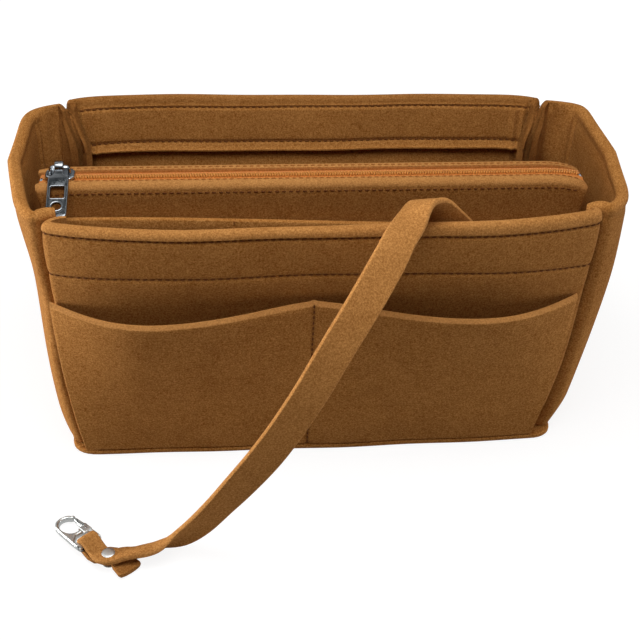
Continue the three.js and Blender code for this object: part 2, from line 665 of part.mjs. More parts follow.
function strapStations() {
  const centres = STRAP_ROUTE.map(([x, y, z]) => new THREE.Vector3(x, y, z));
  const crossings = STRAP_ROUTE.map((row) => new THREE.Vector3(...row.slice(3)));
  const rivet = new THREE.Vector3(...RIVET_POINT, 0);
  const end = strapEnd().map(([reach, height, width]) => ({
    centre: rivet.clone().addScaledVector(HEADING, reach).setZ(height), across: ACROSS, width,
  }));
  const route = new THREE.CatmullRomCurve3([...centres, end[0].centre]);
  const turning = new THREE.CatmullRomCurve3([...crossings, ACROSS]);
  const length = route.getLength();
  const steps = Math.round(length / STRAP_STEP);
  const free = [];
  for (let k = 0; k < steps; k += 1) {
    const share = route.getUtoTmapping(k / steps);
    const taper = THREE.MathUtils.smoothstep(k / steps, 1 - STRAP_TAPER / length, 1);
    free.push({
      centre: route.getPoint(share), across: turning.getPoint(share),
      width: mix(STRAP_WIDTH, STRAP_END_WIDTH, taper),
    });
  }
  return [...free, ...end];
}

// Flat strap through its stations, with the rivet's hole through both layers
function strapGeometry() {
  const stations = strapStations();
  const last = stations.length - 1;
  const grid = stations.map(({ centre, across, width }, k) => {
    const ahead = stations[Math.min(k + 1, last)].centre;
    const behind = stations[Math.max(k - 1, 0)].centre;
    const run = ahead.clone().sub(behind).normalize();
    const edge = across.clone().addScaledVector(run, -across.dot(run)).normalize();
    const lift = run.clone().cross(edge).multiplyScalar(STRAP_THICKNESS / 2);
    return [-1, 1].map((side) => {
      const point = centre.clone().addScaledVector(edge, side * width / 2);
      return [point.clone().add(lift), point.clone().sub(lift)];
    });
  });
  const hole = disc(RIVET_POST + SEAT, 0, HEIGHT / 2).translate(...RIVET_POINT, 0);
  return geometryOf(solidOf(sheetGeometry(grid)).subtract(solidOf(hole)));
}

function addStrap() {
  addPiece('key_strap', strapGeometry(), STRAP_FINISH);
  const upper = TAIL_HEIGHT + STRAP_THICKNESS + LAYER_GAP + STRAP_THICKNESS / 2 + SEAT;
  const lower = TAIL_HEIGHT - STRAP_THICKNESS / 2 - SEAT;
  const profile = [
    [0, lower - RIVET_FOOT_THICKNESS], [RIVET_FOOT, lower - RIVET_FOOT_THICKNESS], [RIVET_FOOT, lower],
    [RIVET_POST, lower], [RIVET_POST, upper], [RIVET_HEAD, upper], [RIVET_HEAD, upper + RIVET_DOME / 2],
    [RIVET_HEAD / 2, upper + RIVET_DOME], [0, upper + RIVET_DOME],
  ];
  const points = profile.map(([r, z]) => new THREE.Vector2(r, z));
  const geometry = new THREE.LatheGeometry(points, ROUND_SIDES).rotateX(HALF_TURN / 2);
  const rivet = addPiece('strap_rivet', geometry, NICKEL_FINISH);
  rivet.position.set(...RIVET_POINT, 0);
}

// Frame of the clasp: the bar in the strap, two legs beside the eye, and the hook round its hole
function claspFrameGeometry() {
  const tip = CLASP_LENGTH;
  const round = HOOK_HALF * DIAGONAL;
  const outline = new THREE.Shape();
  outline.moveTo(-BAR / 2, -EYE_OUTER_HALF);
  outline.lineTo(HOLE_MIDDLE, -HOOK_HALF);
  outline.bezierCurveTo(tip - HOOK_HALF / 2, -HOOK_HALF, tip, -round, tip, 0);
  outline.bezierCurveTo(tip, round, tip - HOOK_HALF / 2, HOOK_HALF, HOLE_MIDDLE, HOOK_HALF);
  outline.lineTo(-BAR / 2, EYE_OUTER_HALF);
  outline.holes.push(polygon([
    [BAR / 2, -EYE_HALF], [EYE_STRAIGHT, -EYE_HALF], [EYE_LENGTH, -EYE_NECK_HALF],
    [EYE_LENGTH, EYE_NECK_HALF], [EYE_STRAIGHT, EYE_HALF], [BAR / 2, EYE_HALF],
  ]));
  const hole = new THREE.Path();
  hole.absellipse(HOLE_MIDDLE, 0, HOLE_HALF_LENGTH, HOLE_HALF_WIDTH, 0, 2 * HALF_TURN);
  outline.holes.push(hole);
  const slotHalf = GATE_THICKNESS / 2 + SEAT;
  const hubReach = GATE_HUB + SEAT;
  const deep = CLASP_THICKNESS;
  const beyond = 2 * HOOK_HALF;
  const above = box(-BAR, BAR, -EYE_HALF, EYE_HALF, BAR / 2, deep);
  const below = box(-BAR, BAR, -EYE_HALF, EYE_HALF, -deep, -BAR / 2);
  const fork = box(PIVOT_U - hubReach, GATE_START, PIVOT_V - hubReach, beyond, -slotHalf, slotHalf);
  const mouth = box(GATE_START, GATE_END, SEAT, beyond, -deep, deep);
  const pinHole = disc(PIN_RADIUS + PIN_CLEARANCE, -deep, deep).translate(PIVOT_U, PIVOT_V, 0);
  return geometryOf([above, below, fork, mouth, pinHole].reduce(
    (frame, cut) => frame.subtract(solidOf(cut)), solidOf(extrude(outline, CLASP_THICKNESS, AXIS_Z))));
}

// Gate: a hub on the pin, an arm that closes the mouth and a thumb tab
function claspGateGeometry() {
  const armInner = HOOK_HALF - GATE_WIDTH;
  const armEnd = GATE_END - 2 * SEAT;
  const arm = polygon([
    [PIVOT_U, armInner - SEAT], [armEnd, armInner], [armEnd, HOOK_HALF - SEAT],
    [GATE_START + GATE_THUMB, HOOK_HALF], [GATE_START + GATE_THUMB / 2, HOOK_HALF + GATE_THUMB],
    [PIVOT_U + SEAT, HOOK_HALF + GATE_THUMB / 2], [PIVOT_U, HOOK_HALF - SEAT],
  ]);
  const half = GATE_THICKNESS / 2;
  const hub = disc(GATE_HUB, -half, half).translate(PIVOT_U, PIVOT_V, 0);
  const bore = disc(PIN_RADIUS + PIN_CLEARANCE, -CLASP_THICKNESS, CLASP_THICKNESS);
  const pocket = disc(SPRING_RADIUS + PIN_CLEARANCE, half - SPRING_HEIGHT - PIN_CLEARANCE, CLASP_THICKNESS);
  return geometryOf(solidOf(extrude(arm, GATE_THICKNESS, AXIS_Z)).add(solidOf(hub))
    .subtract(solidOf(bore.translate(PIVOT_U, PIVOT_V, 0)))
    .subtract(solidOf(pocket.translate(PIVOT_U, PIVOT_V, 0))));
}

function springGeometry() {
  const ring = new THREE.Shape();
  ring.absarc(0, 0, SPRING_RADIUS, 0, 2 * HALF_TURN);
  const bore = new THREE.Path();
  bore.absarc(0, 0, PIN_RADIUS + PIN_CLEARANCE, 0, 2 * HALF_TURN);
  ring.holes.push(bore);
  return extrude(ring, SPRING_HEIGHT, AXIS_Z)
    .translate(PIVOT_U, PIVOT_V, GATE_THICKNESS / 2 - SPRING_HEIGHT / 2);
}

function addClasp() {
  const turned = new THREE.Group();
  const bar = new THREE.Vector3(...RIVET_POINT, 0).addScaledVector(HEADING, LOOP_REACH + BAR_SHIFT);
  turned.position.set(bar.x, bar.y, TAIL_HEIGHT + LOOP_BEND);
  turned.rotation.z = CLASP_HEADING;
  insert.add(turned);
  const clasp = new THREE.Group();
  clasp.rotation.set(HALF_TURN, -Math.asin(CLASP_DROP / CLASP_LENGTH), 0);
  turned.add(clasp);
  addPiece('clasp_frame', claspFrameGeometry(), NICKEL_FINISH, clasp);
  addPiece('clasp_gate', claspGateGeometry(), NICKEL_FINISH, clasp);
  const pin = disc(PIN_RADIUS, -CLASP_THICKNESS / 2, CLASP_THICKNESS / 2).translate(PIVOT_U, PIVOT_V, 0);
  addPiece('clasp_gate_pin', pin, NICKEL_FINISH, clasp);
  addPiece('clasp_gate_spring', springGeometry(), NICKEL_FINISH, clasp);
}

addTub();
addBase();
addOuterPockets();
addPouch();
addStrap();
addClasp();

export default insert;
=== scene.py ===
"""Felt purse organizer insert, dressed around its CAD frame: lofted felt walls and pockets with sewn seams,
a zip pouch, and a key strap with a lobster clasp. Shapes are worked out in millimetres and made in metres."""

import json
import math
from collections import namedtuple

import bmesh
import bpy
from bpy.props import FloatProperty, FloatVectorProperty, PointerProperty
from bpy.types import Operator, Panel, PropertyGroup
from mathutils import Matrix, Vector
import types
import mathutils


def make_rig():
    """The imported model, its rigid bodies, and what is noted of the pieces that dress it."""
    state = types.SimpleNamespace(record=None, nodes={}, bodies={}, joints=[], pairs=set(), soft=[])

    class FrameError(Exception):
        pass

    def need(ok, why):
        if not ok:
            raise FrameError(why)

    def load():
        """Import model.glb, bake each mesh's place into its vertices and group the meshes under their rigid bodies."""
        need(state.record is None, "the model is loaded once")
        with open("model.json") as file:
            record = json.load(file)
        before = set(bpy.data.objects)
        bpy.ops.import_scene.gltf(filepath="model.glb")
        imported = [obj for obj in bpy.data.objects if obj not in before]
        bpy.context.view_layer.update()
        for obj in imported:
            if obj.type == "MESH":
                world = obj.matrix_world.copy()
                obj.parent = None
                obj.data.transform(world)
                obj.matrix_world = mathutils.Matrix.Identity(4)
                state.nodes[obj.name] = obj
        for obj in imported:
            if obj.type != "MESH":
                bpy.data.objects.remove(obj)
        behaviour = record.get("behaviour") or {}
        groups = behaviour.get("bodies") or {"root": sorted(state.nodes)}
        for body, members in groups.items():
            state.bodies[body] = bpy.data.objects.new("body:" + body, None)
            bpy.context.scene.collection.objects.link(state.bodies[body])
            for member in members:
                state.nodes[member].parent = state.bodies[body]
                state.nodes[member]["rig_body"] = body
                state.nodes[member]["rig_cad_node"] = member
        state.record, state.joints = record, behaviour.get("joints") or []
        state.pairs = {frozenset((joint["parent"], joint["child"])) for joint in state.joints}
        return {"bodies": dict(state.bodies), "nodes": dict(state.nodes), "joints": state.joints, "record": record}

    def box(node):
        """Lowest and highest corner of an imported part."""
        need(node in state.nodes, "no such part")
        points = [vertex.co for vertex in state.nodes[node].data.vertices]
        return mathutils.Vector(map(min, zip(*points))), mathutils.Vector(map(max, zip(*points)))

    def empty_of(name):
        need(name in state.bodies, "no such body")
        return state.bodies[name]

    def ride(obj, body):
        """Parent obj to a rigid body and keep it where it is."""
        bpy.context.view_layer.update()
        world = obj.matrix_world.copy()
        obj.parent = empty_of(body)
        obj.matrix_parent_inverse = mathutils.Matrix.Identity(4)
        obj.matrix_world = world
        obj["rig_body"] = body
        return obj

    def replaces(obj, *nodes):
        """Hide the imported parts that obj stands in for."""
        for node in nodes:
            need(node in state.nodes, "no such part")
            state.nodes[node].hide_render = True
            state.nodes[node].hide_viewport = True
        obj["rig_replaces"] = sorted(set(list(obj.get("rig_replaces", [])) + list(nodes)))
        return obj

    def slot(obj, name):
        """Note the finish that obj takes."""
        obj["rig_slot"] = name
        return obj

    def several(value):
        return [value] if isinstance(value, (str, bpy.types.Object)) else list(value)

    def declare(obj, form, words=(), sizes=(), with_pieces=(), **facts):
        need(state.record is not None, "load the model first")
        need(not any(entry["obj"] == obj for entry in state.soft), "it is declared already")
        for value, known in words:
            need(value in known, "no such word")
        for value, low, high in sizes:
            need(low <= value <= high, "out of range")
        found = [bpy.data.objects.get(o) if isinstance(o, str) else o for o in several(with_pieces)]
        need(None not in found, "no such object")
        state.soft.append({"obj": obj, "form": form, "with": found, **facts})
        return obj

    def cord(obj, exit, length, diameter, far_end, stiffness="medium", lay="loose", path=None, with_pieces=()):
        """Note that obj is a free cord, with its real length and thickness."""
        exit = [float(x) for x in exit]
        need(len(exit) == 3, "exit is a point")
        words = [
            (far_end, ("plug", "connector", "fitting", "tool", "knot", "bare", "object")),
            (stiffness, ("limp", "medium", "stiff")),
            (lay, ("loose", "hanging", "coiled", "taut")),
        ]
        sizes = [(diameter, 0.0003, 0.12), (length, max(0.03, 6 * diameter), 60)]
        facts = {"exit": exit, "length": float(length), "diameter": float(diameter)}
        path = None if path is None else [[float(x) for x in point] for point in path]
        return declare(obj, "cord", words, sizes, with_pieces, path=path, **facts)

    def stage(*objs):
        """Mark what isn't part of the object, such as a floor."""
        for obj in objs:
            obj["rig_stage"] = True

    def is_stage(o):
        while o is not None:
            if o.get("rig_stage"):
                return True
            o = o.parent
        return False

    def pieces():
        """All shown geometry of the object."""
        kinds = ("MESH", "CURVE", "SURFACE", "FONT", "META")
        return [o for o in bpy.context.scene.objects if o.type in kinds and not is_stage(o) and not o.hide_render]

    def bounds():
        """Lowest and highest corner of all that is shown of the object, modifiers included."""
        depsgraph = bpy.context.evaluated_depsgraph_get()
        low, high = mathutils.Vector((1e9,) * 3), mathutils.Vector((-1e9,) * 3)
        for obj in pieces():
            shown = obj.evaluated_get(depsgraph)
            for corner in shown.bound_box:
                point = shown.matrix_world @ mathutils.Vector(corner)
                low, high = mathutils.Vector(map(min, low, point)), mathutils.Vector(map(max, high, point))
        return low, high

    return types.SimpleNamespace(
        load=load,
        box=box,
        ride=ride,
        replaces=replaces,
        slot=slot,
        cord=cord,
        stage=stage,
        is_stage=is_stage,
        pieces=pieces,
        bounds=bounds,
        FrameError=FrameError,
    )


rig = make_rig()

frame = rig.load()
CAD_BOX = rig.bounds()

bl_info = {
    "name": "Felt Purse Organizer",
    "version": (1, 0, 0),
    "blender": (4, 5, 0),
    "location": "View3D > Sidebar > Organizer",
    "description": "Builds a felt purse organizer insert with a zip pouch and a key strap",
    "category": "Object",
}

MM = 0.001
SIZE_FILE = "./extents.json"
PHOTO_PIXELS = 640
SENSOR_MM = 36


def linear(code):
    """Linear RGBA of an sRGB hex value."""
    channels = [int(code[i:i + 2], 16) / 255 for i in (1, 3, 5)]
    return tuple(
        c / 12.92 if c <= 0.04045 else ((c + 0.055) / 1.055) ** 2.4 for c in channels
    ) + (1.0,)


def length(name, description, default):
    """A length property, in metres."""
    return FloatProperty(
        name=name, description=description, default=default, min=0.0, unit="LENGTH", subtype="DISTANCE"
    )


def colour(name, description, code):
    """A colour property that starts from an sRGB hex value."""
    return FloatVectorProperty(
        name=name, description=description, default=linear(code), size=4, min=0.0, max=1.0, subtype="COLOR"
    )


class OrganizerSizes(PropertyGroup):
    """Main sizes of the insert."""

    height: length("Height", "Height of the rim above the table", 0.144)
    base_length: length("Base length", "Length between the corner lines at the base", 0.2456)
    base_depth: length("Base depth", "Depth between the corner lines at the base", 0.106)
    rim_length: length("Rim length", "Length between the corner lines at the rim", 0.261)
    rim_depth: length("Rim depth", "Depth between the corner lines at the rim", 0.116)
    felt: length("Felt", "Thickness of the felt sheet", 0.003)
    stitch_pitch: length("Stitch pitch", "Distance from one stitch to the next", 0.0034)
    stitch_length: length("Stitch length", "Length of the thread that shows", 0.0023)
    thread: length("Thread", "Thickness of the sewing thread", 0.001)
    pouch_depth: length("Pouch depth", "Thickness of the zip pouch", 0.022)
    pouch_top: length("Pouch top", "Height of the pouch's felt lips", 0.1335)
    strap_width: length("Strap width", "Width of the key strap", 0.016)
    strap_thickness: length("Strap thickness", "Thickness of the key strap", 0.0028)
    tooth_pitch: length("Tooth pitch", "Distance between turns of the zip coil", 0.0013)


class OrganizerColours(PropertyGroup):
    """Colours of the insert."""

    felt: colour("Felt", "Camel felt", "#C68D4E")
    felt_shade: colour("Felt shade", "Darker fibres of the felt", "#8A5520")
    # Painted highlight: paler felt laid on cut edges and on faces that catch the light, where the cut attribute is
    # above 0
    cut_edge: colour("Cut edge", "Paler felt on a cut edge", "#C8935A")
    # Painted shade: darker felt laid in seam grooves, corner folds, under the strap and on faces turned from the light
    seam: colour("Seam", "Felt in the groove of a seam", "#6A3F1B")
    thread: colour("Thread", "Sewing thread", "#6A3E1B")
    pouch_thread: colour("Pouch thread", "Sewing thread of the pouch", "#9E6531")
    tape: colour("Tape", "Zip tape", "#C97A2E")
    coil: colour("Coil", "Zip coil", "#D28E42")
    patch: colour("Patch", "Hook and loop", "#8A5A2C")
    nickel: colour("Nickel", "Polished nickel plate", "#AEB2B6")
    satin: colour("Satin nickel", "Tumbled nickel plate", "#D2D4D2")
    # Painted shade: the slider's nickel made darker, standing in for the pull's dark reflections
    smoked: colour("Smoked nickel", "Darker nickel plate of the zip pull", "#888B8E")


SHARP_ANGLE = math.radians(42)
SQUARE = ((-1, -1), (1, -1), (1, 1), (-1, 1))

# Tub: sizes in millimetres, and counts of steps
FLOOR = 3.3
SEAT = 0.3
EDGE_ROUND = 0.6
RIM_SEAM = 139.0
FACING_SEAM = 118.0
FACING_EDGE = 113.0
FACING_FLARE = 1.1
FACING_LIP = 1.5
ROLL_CENTRE = 140.4
ROLL_STEPS = 14
SIDE_ROLL_HALF = 3.1
SIDE_NECK = (137, 2.4, 0.45)  # height, width, depth
SIDE_FACING = (70, 134, 2.8)  # foot, top, swell
LINE_SWELL = 3.5
BACK_SHIFT = 4.0
TUCK_HEIGHT = 24
BROAD_WAVE = 0.45
FINE_WAVE = 0.3
SEAM_DEPTH = 4.0
SEAM_BLEND = 9.0
RIM_DIP = (0.75, 0.9)  # depth, width
FACING_DIP = (0.65, 0.95)  # depth, width
HEM_PUFF = 0.5
THREAD_PROUD = 0.1
RECESS = 3.0
BASE_CORNER = 9
# Height and inset of the base's rounded edge
BASE_EDGE = ((0, 0.9), (0.25, 0.3), (0.9, 0), (2.1, 0), (2.75, 0.3), (3, 0.9))
WALL_STEP = 2.2
SLOPE_STEP = 0.2
SEARCH_STEPS = 24
ARC_STEPS = 12

# Tub: heights between which a change comes in
RIM_RISE = (RIM_SEAM, RIM_SEAM + 5)
FACING_LIFT = (RIM_SEAM, FACING_SEAM + 3)
SAG_GROWTH = (RIM_SEAM, FACING_SEAM)
HEM_START = (90, 112)
RECESS_TOP = (116, 99)
RECESS_FOOT = (8, 50)
# The rim's painted tone comes in over these heights: painted light at the front, painted shade at the back
RIM_SHADE = (RIM_SEAM - 1, RIM_SEAM + 2)

# Tub: fins at the corner seams, and pleats on the inner faces beside them
FIN_STEPS = 7
FIN_FULL_HEIGHT = 122
FIN_LOW_SHARE = 0.65
FIN_WIDENING = (80, 115)
FIN_FALL_START = 12
FIN_LIP = 0.45
FIN_PLEAT_TURN = 2.1
FIN_PLEAT_TOP = (144, 130)
PLEAT_TURN = 1.1
PLEAT_BAND = (-26, -8)
PLEAT_FOOT = (50, 105)
PLEAT_TOP = (142, 136)

# Tub: shares of painted shade, laid on in the seam's darker colour
WALL_PAINTED_SHADE = 0.13
FOLD_PAINTED_SHADE = 0.55
SEAM_PAINTED_SHADES = ((0.1, 0.45), (0.5, 0.3))  # distance from the thread, shade

# Outer pockets
POCKET_INSET = 6.0
POCKET_SHIFT = -3.0
POCKET_SEAM_SHIFT = -3.2
POCKET_SEAM_DEPTH = 0.1
POCKET_ENDS = 96.5
POCKET_TILT = 0.5
POCKET_MIDDLE = 101.5
POCKET_SCOOP = 4.3
POCKET_BELLY = 8.0
POCKET_SKEW = 1.35
POCKET_HALF = 120
POCKET_PINCH = 0.9
# Painted highlight on the pocket's mouth and side edges, and painted shade along its middle seam
POCKET_EDGE_HIGHLIGHT = 0.35
POCKET_SEAM_PAINTED_SHADES = (0.45, 0.25)  # in the seam, beside it

# Pouch
POUCH_FLOOR = 3.6
POUCH_BEND = 3.4
POUCH_SLOT = 5.2
POUCH_LEAN = 0.16667
POUCH_END = 114.83
POUCH_RIM = 133
POUCH_ROUND = 0.7
POUCH_SWAY = 0.4
POUCH_STEPS = 110
# Painted shade on the pouch's faces and a painted highlight on its lips
POUCH_PAINTED_SHADE = -0.2
LIP_PAINTED_HIGHLIGHT = 0.3
LIP_SEAM = (1.3, 131)  # back from the slot, half length
FACE_SEAM = (1.4, 130)  # below the bend, half length
GUSSET_CORNER = 8
SLIP_TOP = 117.3
SLIP_FALL = 6.5
SLIP_FALL_RUN = (-120, 90)
SLIP_FALL_FOOT = 70
SLIP_LEAN = 1.4
SLIP_INSET = 3.0
SLIP_SEAM = 41.8
THREAD_OFF = 0.05
DROOP_START = 115.0
DROOP = (2.0, 6.8)  # left end, right end
DROOP_ZONE = (95, 128)

# Zip
TAPE_DROOP = 0.5
TAPE_TOP = 131.3
TAPE_THICK = 0.8
TAPE_INSET = 0.9
TAPE_BEAD = 0.3
GUSSET_TOP = TAPE_TOP - 9.5
RIB_PITCH = 0.7
WAVE_BAND = 0.314  # between bands of a wave texture of scale 1
COIL_END = 133
COIL_OFF = 0.95
COIL_RISE = 0.7
TOOTH = (2.5, 1.1, 1.3)  # length, thickness, height
STOP_SPOT = 135.1
STOP_HALF = (0.8, 2)
STOP_RINGS = ((-1.2, 0.7), (-0.8, 1), (0, 1), (0.4, 0.7))  # above the tape, scale

# Hook and loop patches
PATCH_MIDDLE = 92.0
PATCH_HALF = (9, 11)
PATCH_THICK = 1.6
PATCH_GAP = 1.9
PAD_SEAT = 0.8
PAD_OFF = 0.9
PAD_LEAST = 1.0

# Key strap: the route's points, each with the direction across the strap there
STRAP_ROUTE = (
    (72, -61.0, 122, -0.74, 0, -0.67),
    (65, -61.8, 129.5, -0.74, 0, -0.67),
    (58, -63.0, 137, -0.75, 0, -0.66),
    (52, -64.2, 143.5, -0.78, 0.06, -0.62),
    (47, -65.2, 149.2, -0.83, 0.22, -0.5),
    (43, -67.4, 153.6, -0.84, 0.42, -0.33),
    (39, -71.4, 155.2, -0.76, 0.55, -0.35),
    (35.3, -77.7, 154.5, -0.8, 0.55, -0.25),
    (32, -83.7, 152.3, -0.84, 0.48, 0.1),
    (27.4, -90, 149.2, -0.87, 0.26, 0.36),
    (21.2, -99.1, 142.8, -0.88, 0, 0.474),
    (9.8, -112.1, 129.8, -0.88, 0, 0.474),
    (-1.9, -121.1, 113.5, -0.86, 0, 0.5),
    (-12.1, -126.1, 95.7, -0.85, 0, 0.52),
    (-22.9, -128.1, 76.3, -0.83, 0, 0.55),
    (-31.7, -128.2, 61.2, -0.8, 0, 0.6),
    (-42, -127.2, 45.1, -0.75, -0.1, 0.66),
    (-52.3, -125.7, 29.7, -0.64, -0.26, 0.72),
    (-62.2, -125, 17.5, -0.55, -0.3, 0.78),
    (-71.4, -125.2, 10.2, -0.36, -0.4, 0.84),
    (-81.5, -127.2, 7, -0.05, -0.8, 0.6),
    (-90.5, -129.2, 6.3, -0.1, -0.9, 0.48),
    (-97, -130.3, 6.0, -0.25, -0.94, 0.28),
    (-102.4, -131.6, 5.75, -0.5, -0.85, 0.08),
)
RIVET = Vector((-106.4, -130.6, 0.0))
RIVET_SPOT = Vector((-103.9, -130.2, 0.0))
RIVET_FLAT = 4.0
HEADING = math.radians(130)
LOOP_REACH = 10.4
LOOP_BEND = 3.2
LOOP_WIDTH = 9.0
END_WIDTH = 9.4
TAPER = 50.0
TAIL_HEIGHT = 2.6
TAIL_END_HEIGHT = 2.0
TAIL_FOLD = Vector((-101.7, -127.0, 0.0))
TAIL_END = Vector((-93.4, -137.4, 0.0))
# Shares of the tail's run, each with the width there
TAIL_WIDTHS = ((0, 7.2), (0.5, 11.2), (0.88, 12.2), (0.96, 11.6), (1, 10.0))
LAYER_GAP = 0.35
STRAP_STEP = 2.0
STRAP_CURL = 2.4
CREST_NARROWING = 0.1
# Painted light on the whole strap and its edges, and painted shadow on the tail under the loop
STRAP_PAINTED_LIGHT = 0.16
STRAP_EDGE_HIGHLIGHT = 0.1
TAIL_PAINTED_SHADOW = -0.4

# Clasp, in its own axes along, across and up from the bar
CLASP_DROP = math.asin(3.3 / 24.5)
CLASP_HALF = 6.3
CLASP_THICK = 3.2
BAR_RADIUS = 0.9
BAR_OFF = 0.2
HOLE_MIDDLE = 16.3
HOLE_HALF = (6.3, 4.4)  # along, across
HOLE_ENDS = (math.radians(52), math.radians(-195))
GATE_PIVOT = (8.8, 4.2)
GATE_HOLE = 0.85
GATE_THICK = 2.0
CHEEK_OFF = 1.5
SPRING_RADIUS = 1.15
SPRING_WIRE = 0.14
SPRING_TURN = 18.8

# Zip slider and pull
SLIDER_FLOOR = 128.4
SLIDER_PLATES = (1.5, 1.2)  # thickness of the upper and the lower
FLANGE_OFF = 4.7
BAIL_REACH = 4.6
BAIL_BEND = (1.8, 1.85)  # along, up
BAIL_RISE = 3.65
BAIL_WIDTH = 1.5
PULL_REST = math.radians(21.6)
PULL_THICK = 1.6
EYELET = (-25.2, 2.4, 2.8)  # place, radius of the hole, radius of the ring
WINDOW_MIDDLE = -16.5

ALONG = Vector((math.cos(HEADING), math.sin(HEADING), 0))
ACROSS = Vector((-ALONG.y, ALONG.x, 0))
BAR = RIVET + ALONG * (LOOP_REACH + BAR_OFF) + Vector((0, 0, TAIL_HEIGHT + LOOP_BEND))


def lerp(a, b, t):
    return a + (b - a) * t


def smooth(low, high, x):
    t = min(max((x - low) / (high - low), 0.0), 1.0)
    return t * t * (3 - 2 * t)


def steps(low, high, count):
    """count + 1 values from low to high."""
    return [lerp(low, high, k / count) for k in range(count + 1)]


def add_node(tree, kind, inputs=None, **settings):
    """Adds a node with its settings, and fills its inputs with values or other nodes' outputs."""
    node = tree.nodes.new(kind)
    for name, value in settings.items():
        setattr(node, name, value)
    for name, value in (inputs or {}).items():
        if isinstance(value, bpy.types.NodeSocket):
            tree.links.new(value, node.inputs[name])
        else:
            node.inputs[name].default_value = value
    return node


def new_material(name):
    """An empty node material, its tree and the Object coordinates that its patterns read."""
    material = bpy.data.materials.new(name)
    material.use_nodes = True
    tree = material.node_tree
    tree.nodes.clear()
    return material, tree, add_node(tree, "ShaderNodeTexCoord").outputs["Object"]


def noise(tree, where, size, detail, **more):
    """Noise with grains of a size in millimetres."""
    inputs = {"Vector": where, "Scale": 1 / (size * MM), "Detail": detail, **more}
    return add_node(tree, "ShaderNodeTexNoise", inputs).outputs["Fac"]


def relief(tree, height, strength, depth, **settings):
    """Bumps of a depth in millimetres."""
    inputs = {"Strength": strength, "Distance": depth * MM, "Height": height}
    return add_node(tree, "ShaderNodeBump", inputs, **settings).outputs[0]


def weigh(tree, value, weight, plus=0.0):
    """A value times a weight, plus another value."""
    inputs = {0: value, 1: weight, 2: plus}
    return add_node(tree, "ShaderNodeMath", inputs, operation="MULTIPLY_ADD").outputs[0]


def spread(tree, value, low, high, start=0.0, end=1.0):
    """A value that runs from low to high while the given one runs from start to end."""
    inputs = {"Value": value, "From Min": start, "From Max": end, "To Min": low, "To Max": high}
    return add_node(tree, "ShaderNodeMapRange", inputs).outputs[0]


def blend(tree, share, below, above):
    """One colour laid over another."""
    inputs = {"Factor": share, "A": below, "B": above}
    return add_node(tree, "ShaderNodeMix", inputs, data_type="RGBA").outputs["Result"]


def finish_material(material, tree, kind, inputs):
    """Gives a material its surface shader."""
    shader = add_node(tree, kind, inputs)
    add_node(tree, "ShaderNodeOutputMaterial", {"Surface": shader.outputs[0]})
    return material


def pressed_felt(name, light, dark, edge, sunk):
    """Pressed felt: dull and soft, a tangle of short fibres with clouds of tone, with a painted highlight
    where the cut attribute is above 0 and painted shade where it is below 0."""
    material, tree, where = new_material(name)
    lying = add_node(tree, "ShaderNodeMapping", {"Vector": where, "Scale": (0.6, 0.6, 1.5)}).outputs[0]
    fibre = noise(tree, where, 0.8, 4.0, Roughness=0.75)
    strand = noise(tree, lying, 1.7, 3.0, Roughness=0.6, Distortion=0.8)
    cloud = noise(tree, where, 16, 3.0, Roughness=0.6)
    tangle = weigh(tree, fibre, 0.75, weigh(tree, strand, 0.15, weigh(tree, cloud, 0.1)))
    tone = add_node(tree, "ShaderNodeValToRGB", {"Fac": tangle})
    for stop, position, shade in zip(tone.color_ramp.elements, (0.4, 0.61), (dark, light)):
        stop.position = position
        stop.color = shade
    # Painted light and shade from the cut attribute: above 0 it blends in the edge colour (pale) as a painted
    # highlight, below 0 the sunk seam colour as painted shade
    cut = add_node(tree, "ShaderNodeAttribute", attribute_name="cut").outputs["Fac"]
    pale = blend(tree, cut, tone.outputs[0], edge)
    painted_tone = blend(tree, weigh(tree, cut, -1.0), pale, sunk)
    return finish_material(material, tree, "ShaderNodeBsdfPrincipled", {
        "Base Color": painted_tone, "Roughness": 0.92, "IOR": 1.45, "Specular IOR Level": 0.1, "Sheen Weight": 0.06,
        "Sheen Roughness": 0.6, "Sheen Tint": light, "Normal": relief(tree, tangle, 0.6, 0.5)})


def sewing_thread(name, shade):
    """Spun polyester thread: fine ply lines and a dull gloss, sunk in the felt."""
    material, tree, where = new_material(name)
    ply = noise(tree, where, 0.4, 2.0)
    return finish_material(material, tree, "ShaderNodeBsdfPrincipled", {
        "Base Color": shade, "Roughness": 0.8, "Specular IOR Level": 0.15,
        "Normal": relief(tree, ply, 0.4, 0.1)})


def woven_tape(name, shade):
    """Woven polyester tape: fine ribs along the zip, which show as a slight satin grain."""
    material, tree, where = new_material(name)
    ribs = add_node(tree, "ShaderNodeTexWave", {
        "Vector": where, "Scale": WAVE_BAND / (RIB_PITCH * MM), "Distortion": 0.6, "Detail": 1.0,
        "Detail Scale": 2.0}, bands_direction="Y").outputs["Fac"]
    picks = noise(tree, where, 0.6, 2.0)
    tone = add_node(tree, "ShaderNodeHueSaturation", {
        "Value": spread(tree, picks, 0.8, 1.15), "Color": shade})
    return finish_material(material, tree, "ShaderNodeBsdfPrincipled", {
        "Base Color": tone.outputs[0], "Roughness": 0.75, "Sheen Weight": 0.15,
        "Normal": relief(tree, weigh(tree, ribs, picks), 0.5, 0.2)})


def nylon_coil(name, shade):
    """Dyed nylon monofilament: smooth, with a soft highlight on each turn."""
    material, tree, where = new_material(name)
    streak = noise(tree, where, 1.5, 2.0)
    return finish_material(material, tree, "ShaderNodeBsdfPrincipled", {
        "Base Color": shade, "Roughness": spread(tree, streak, 0.35, 0.55), "IOR": 1.53})


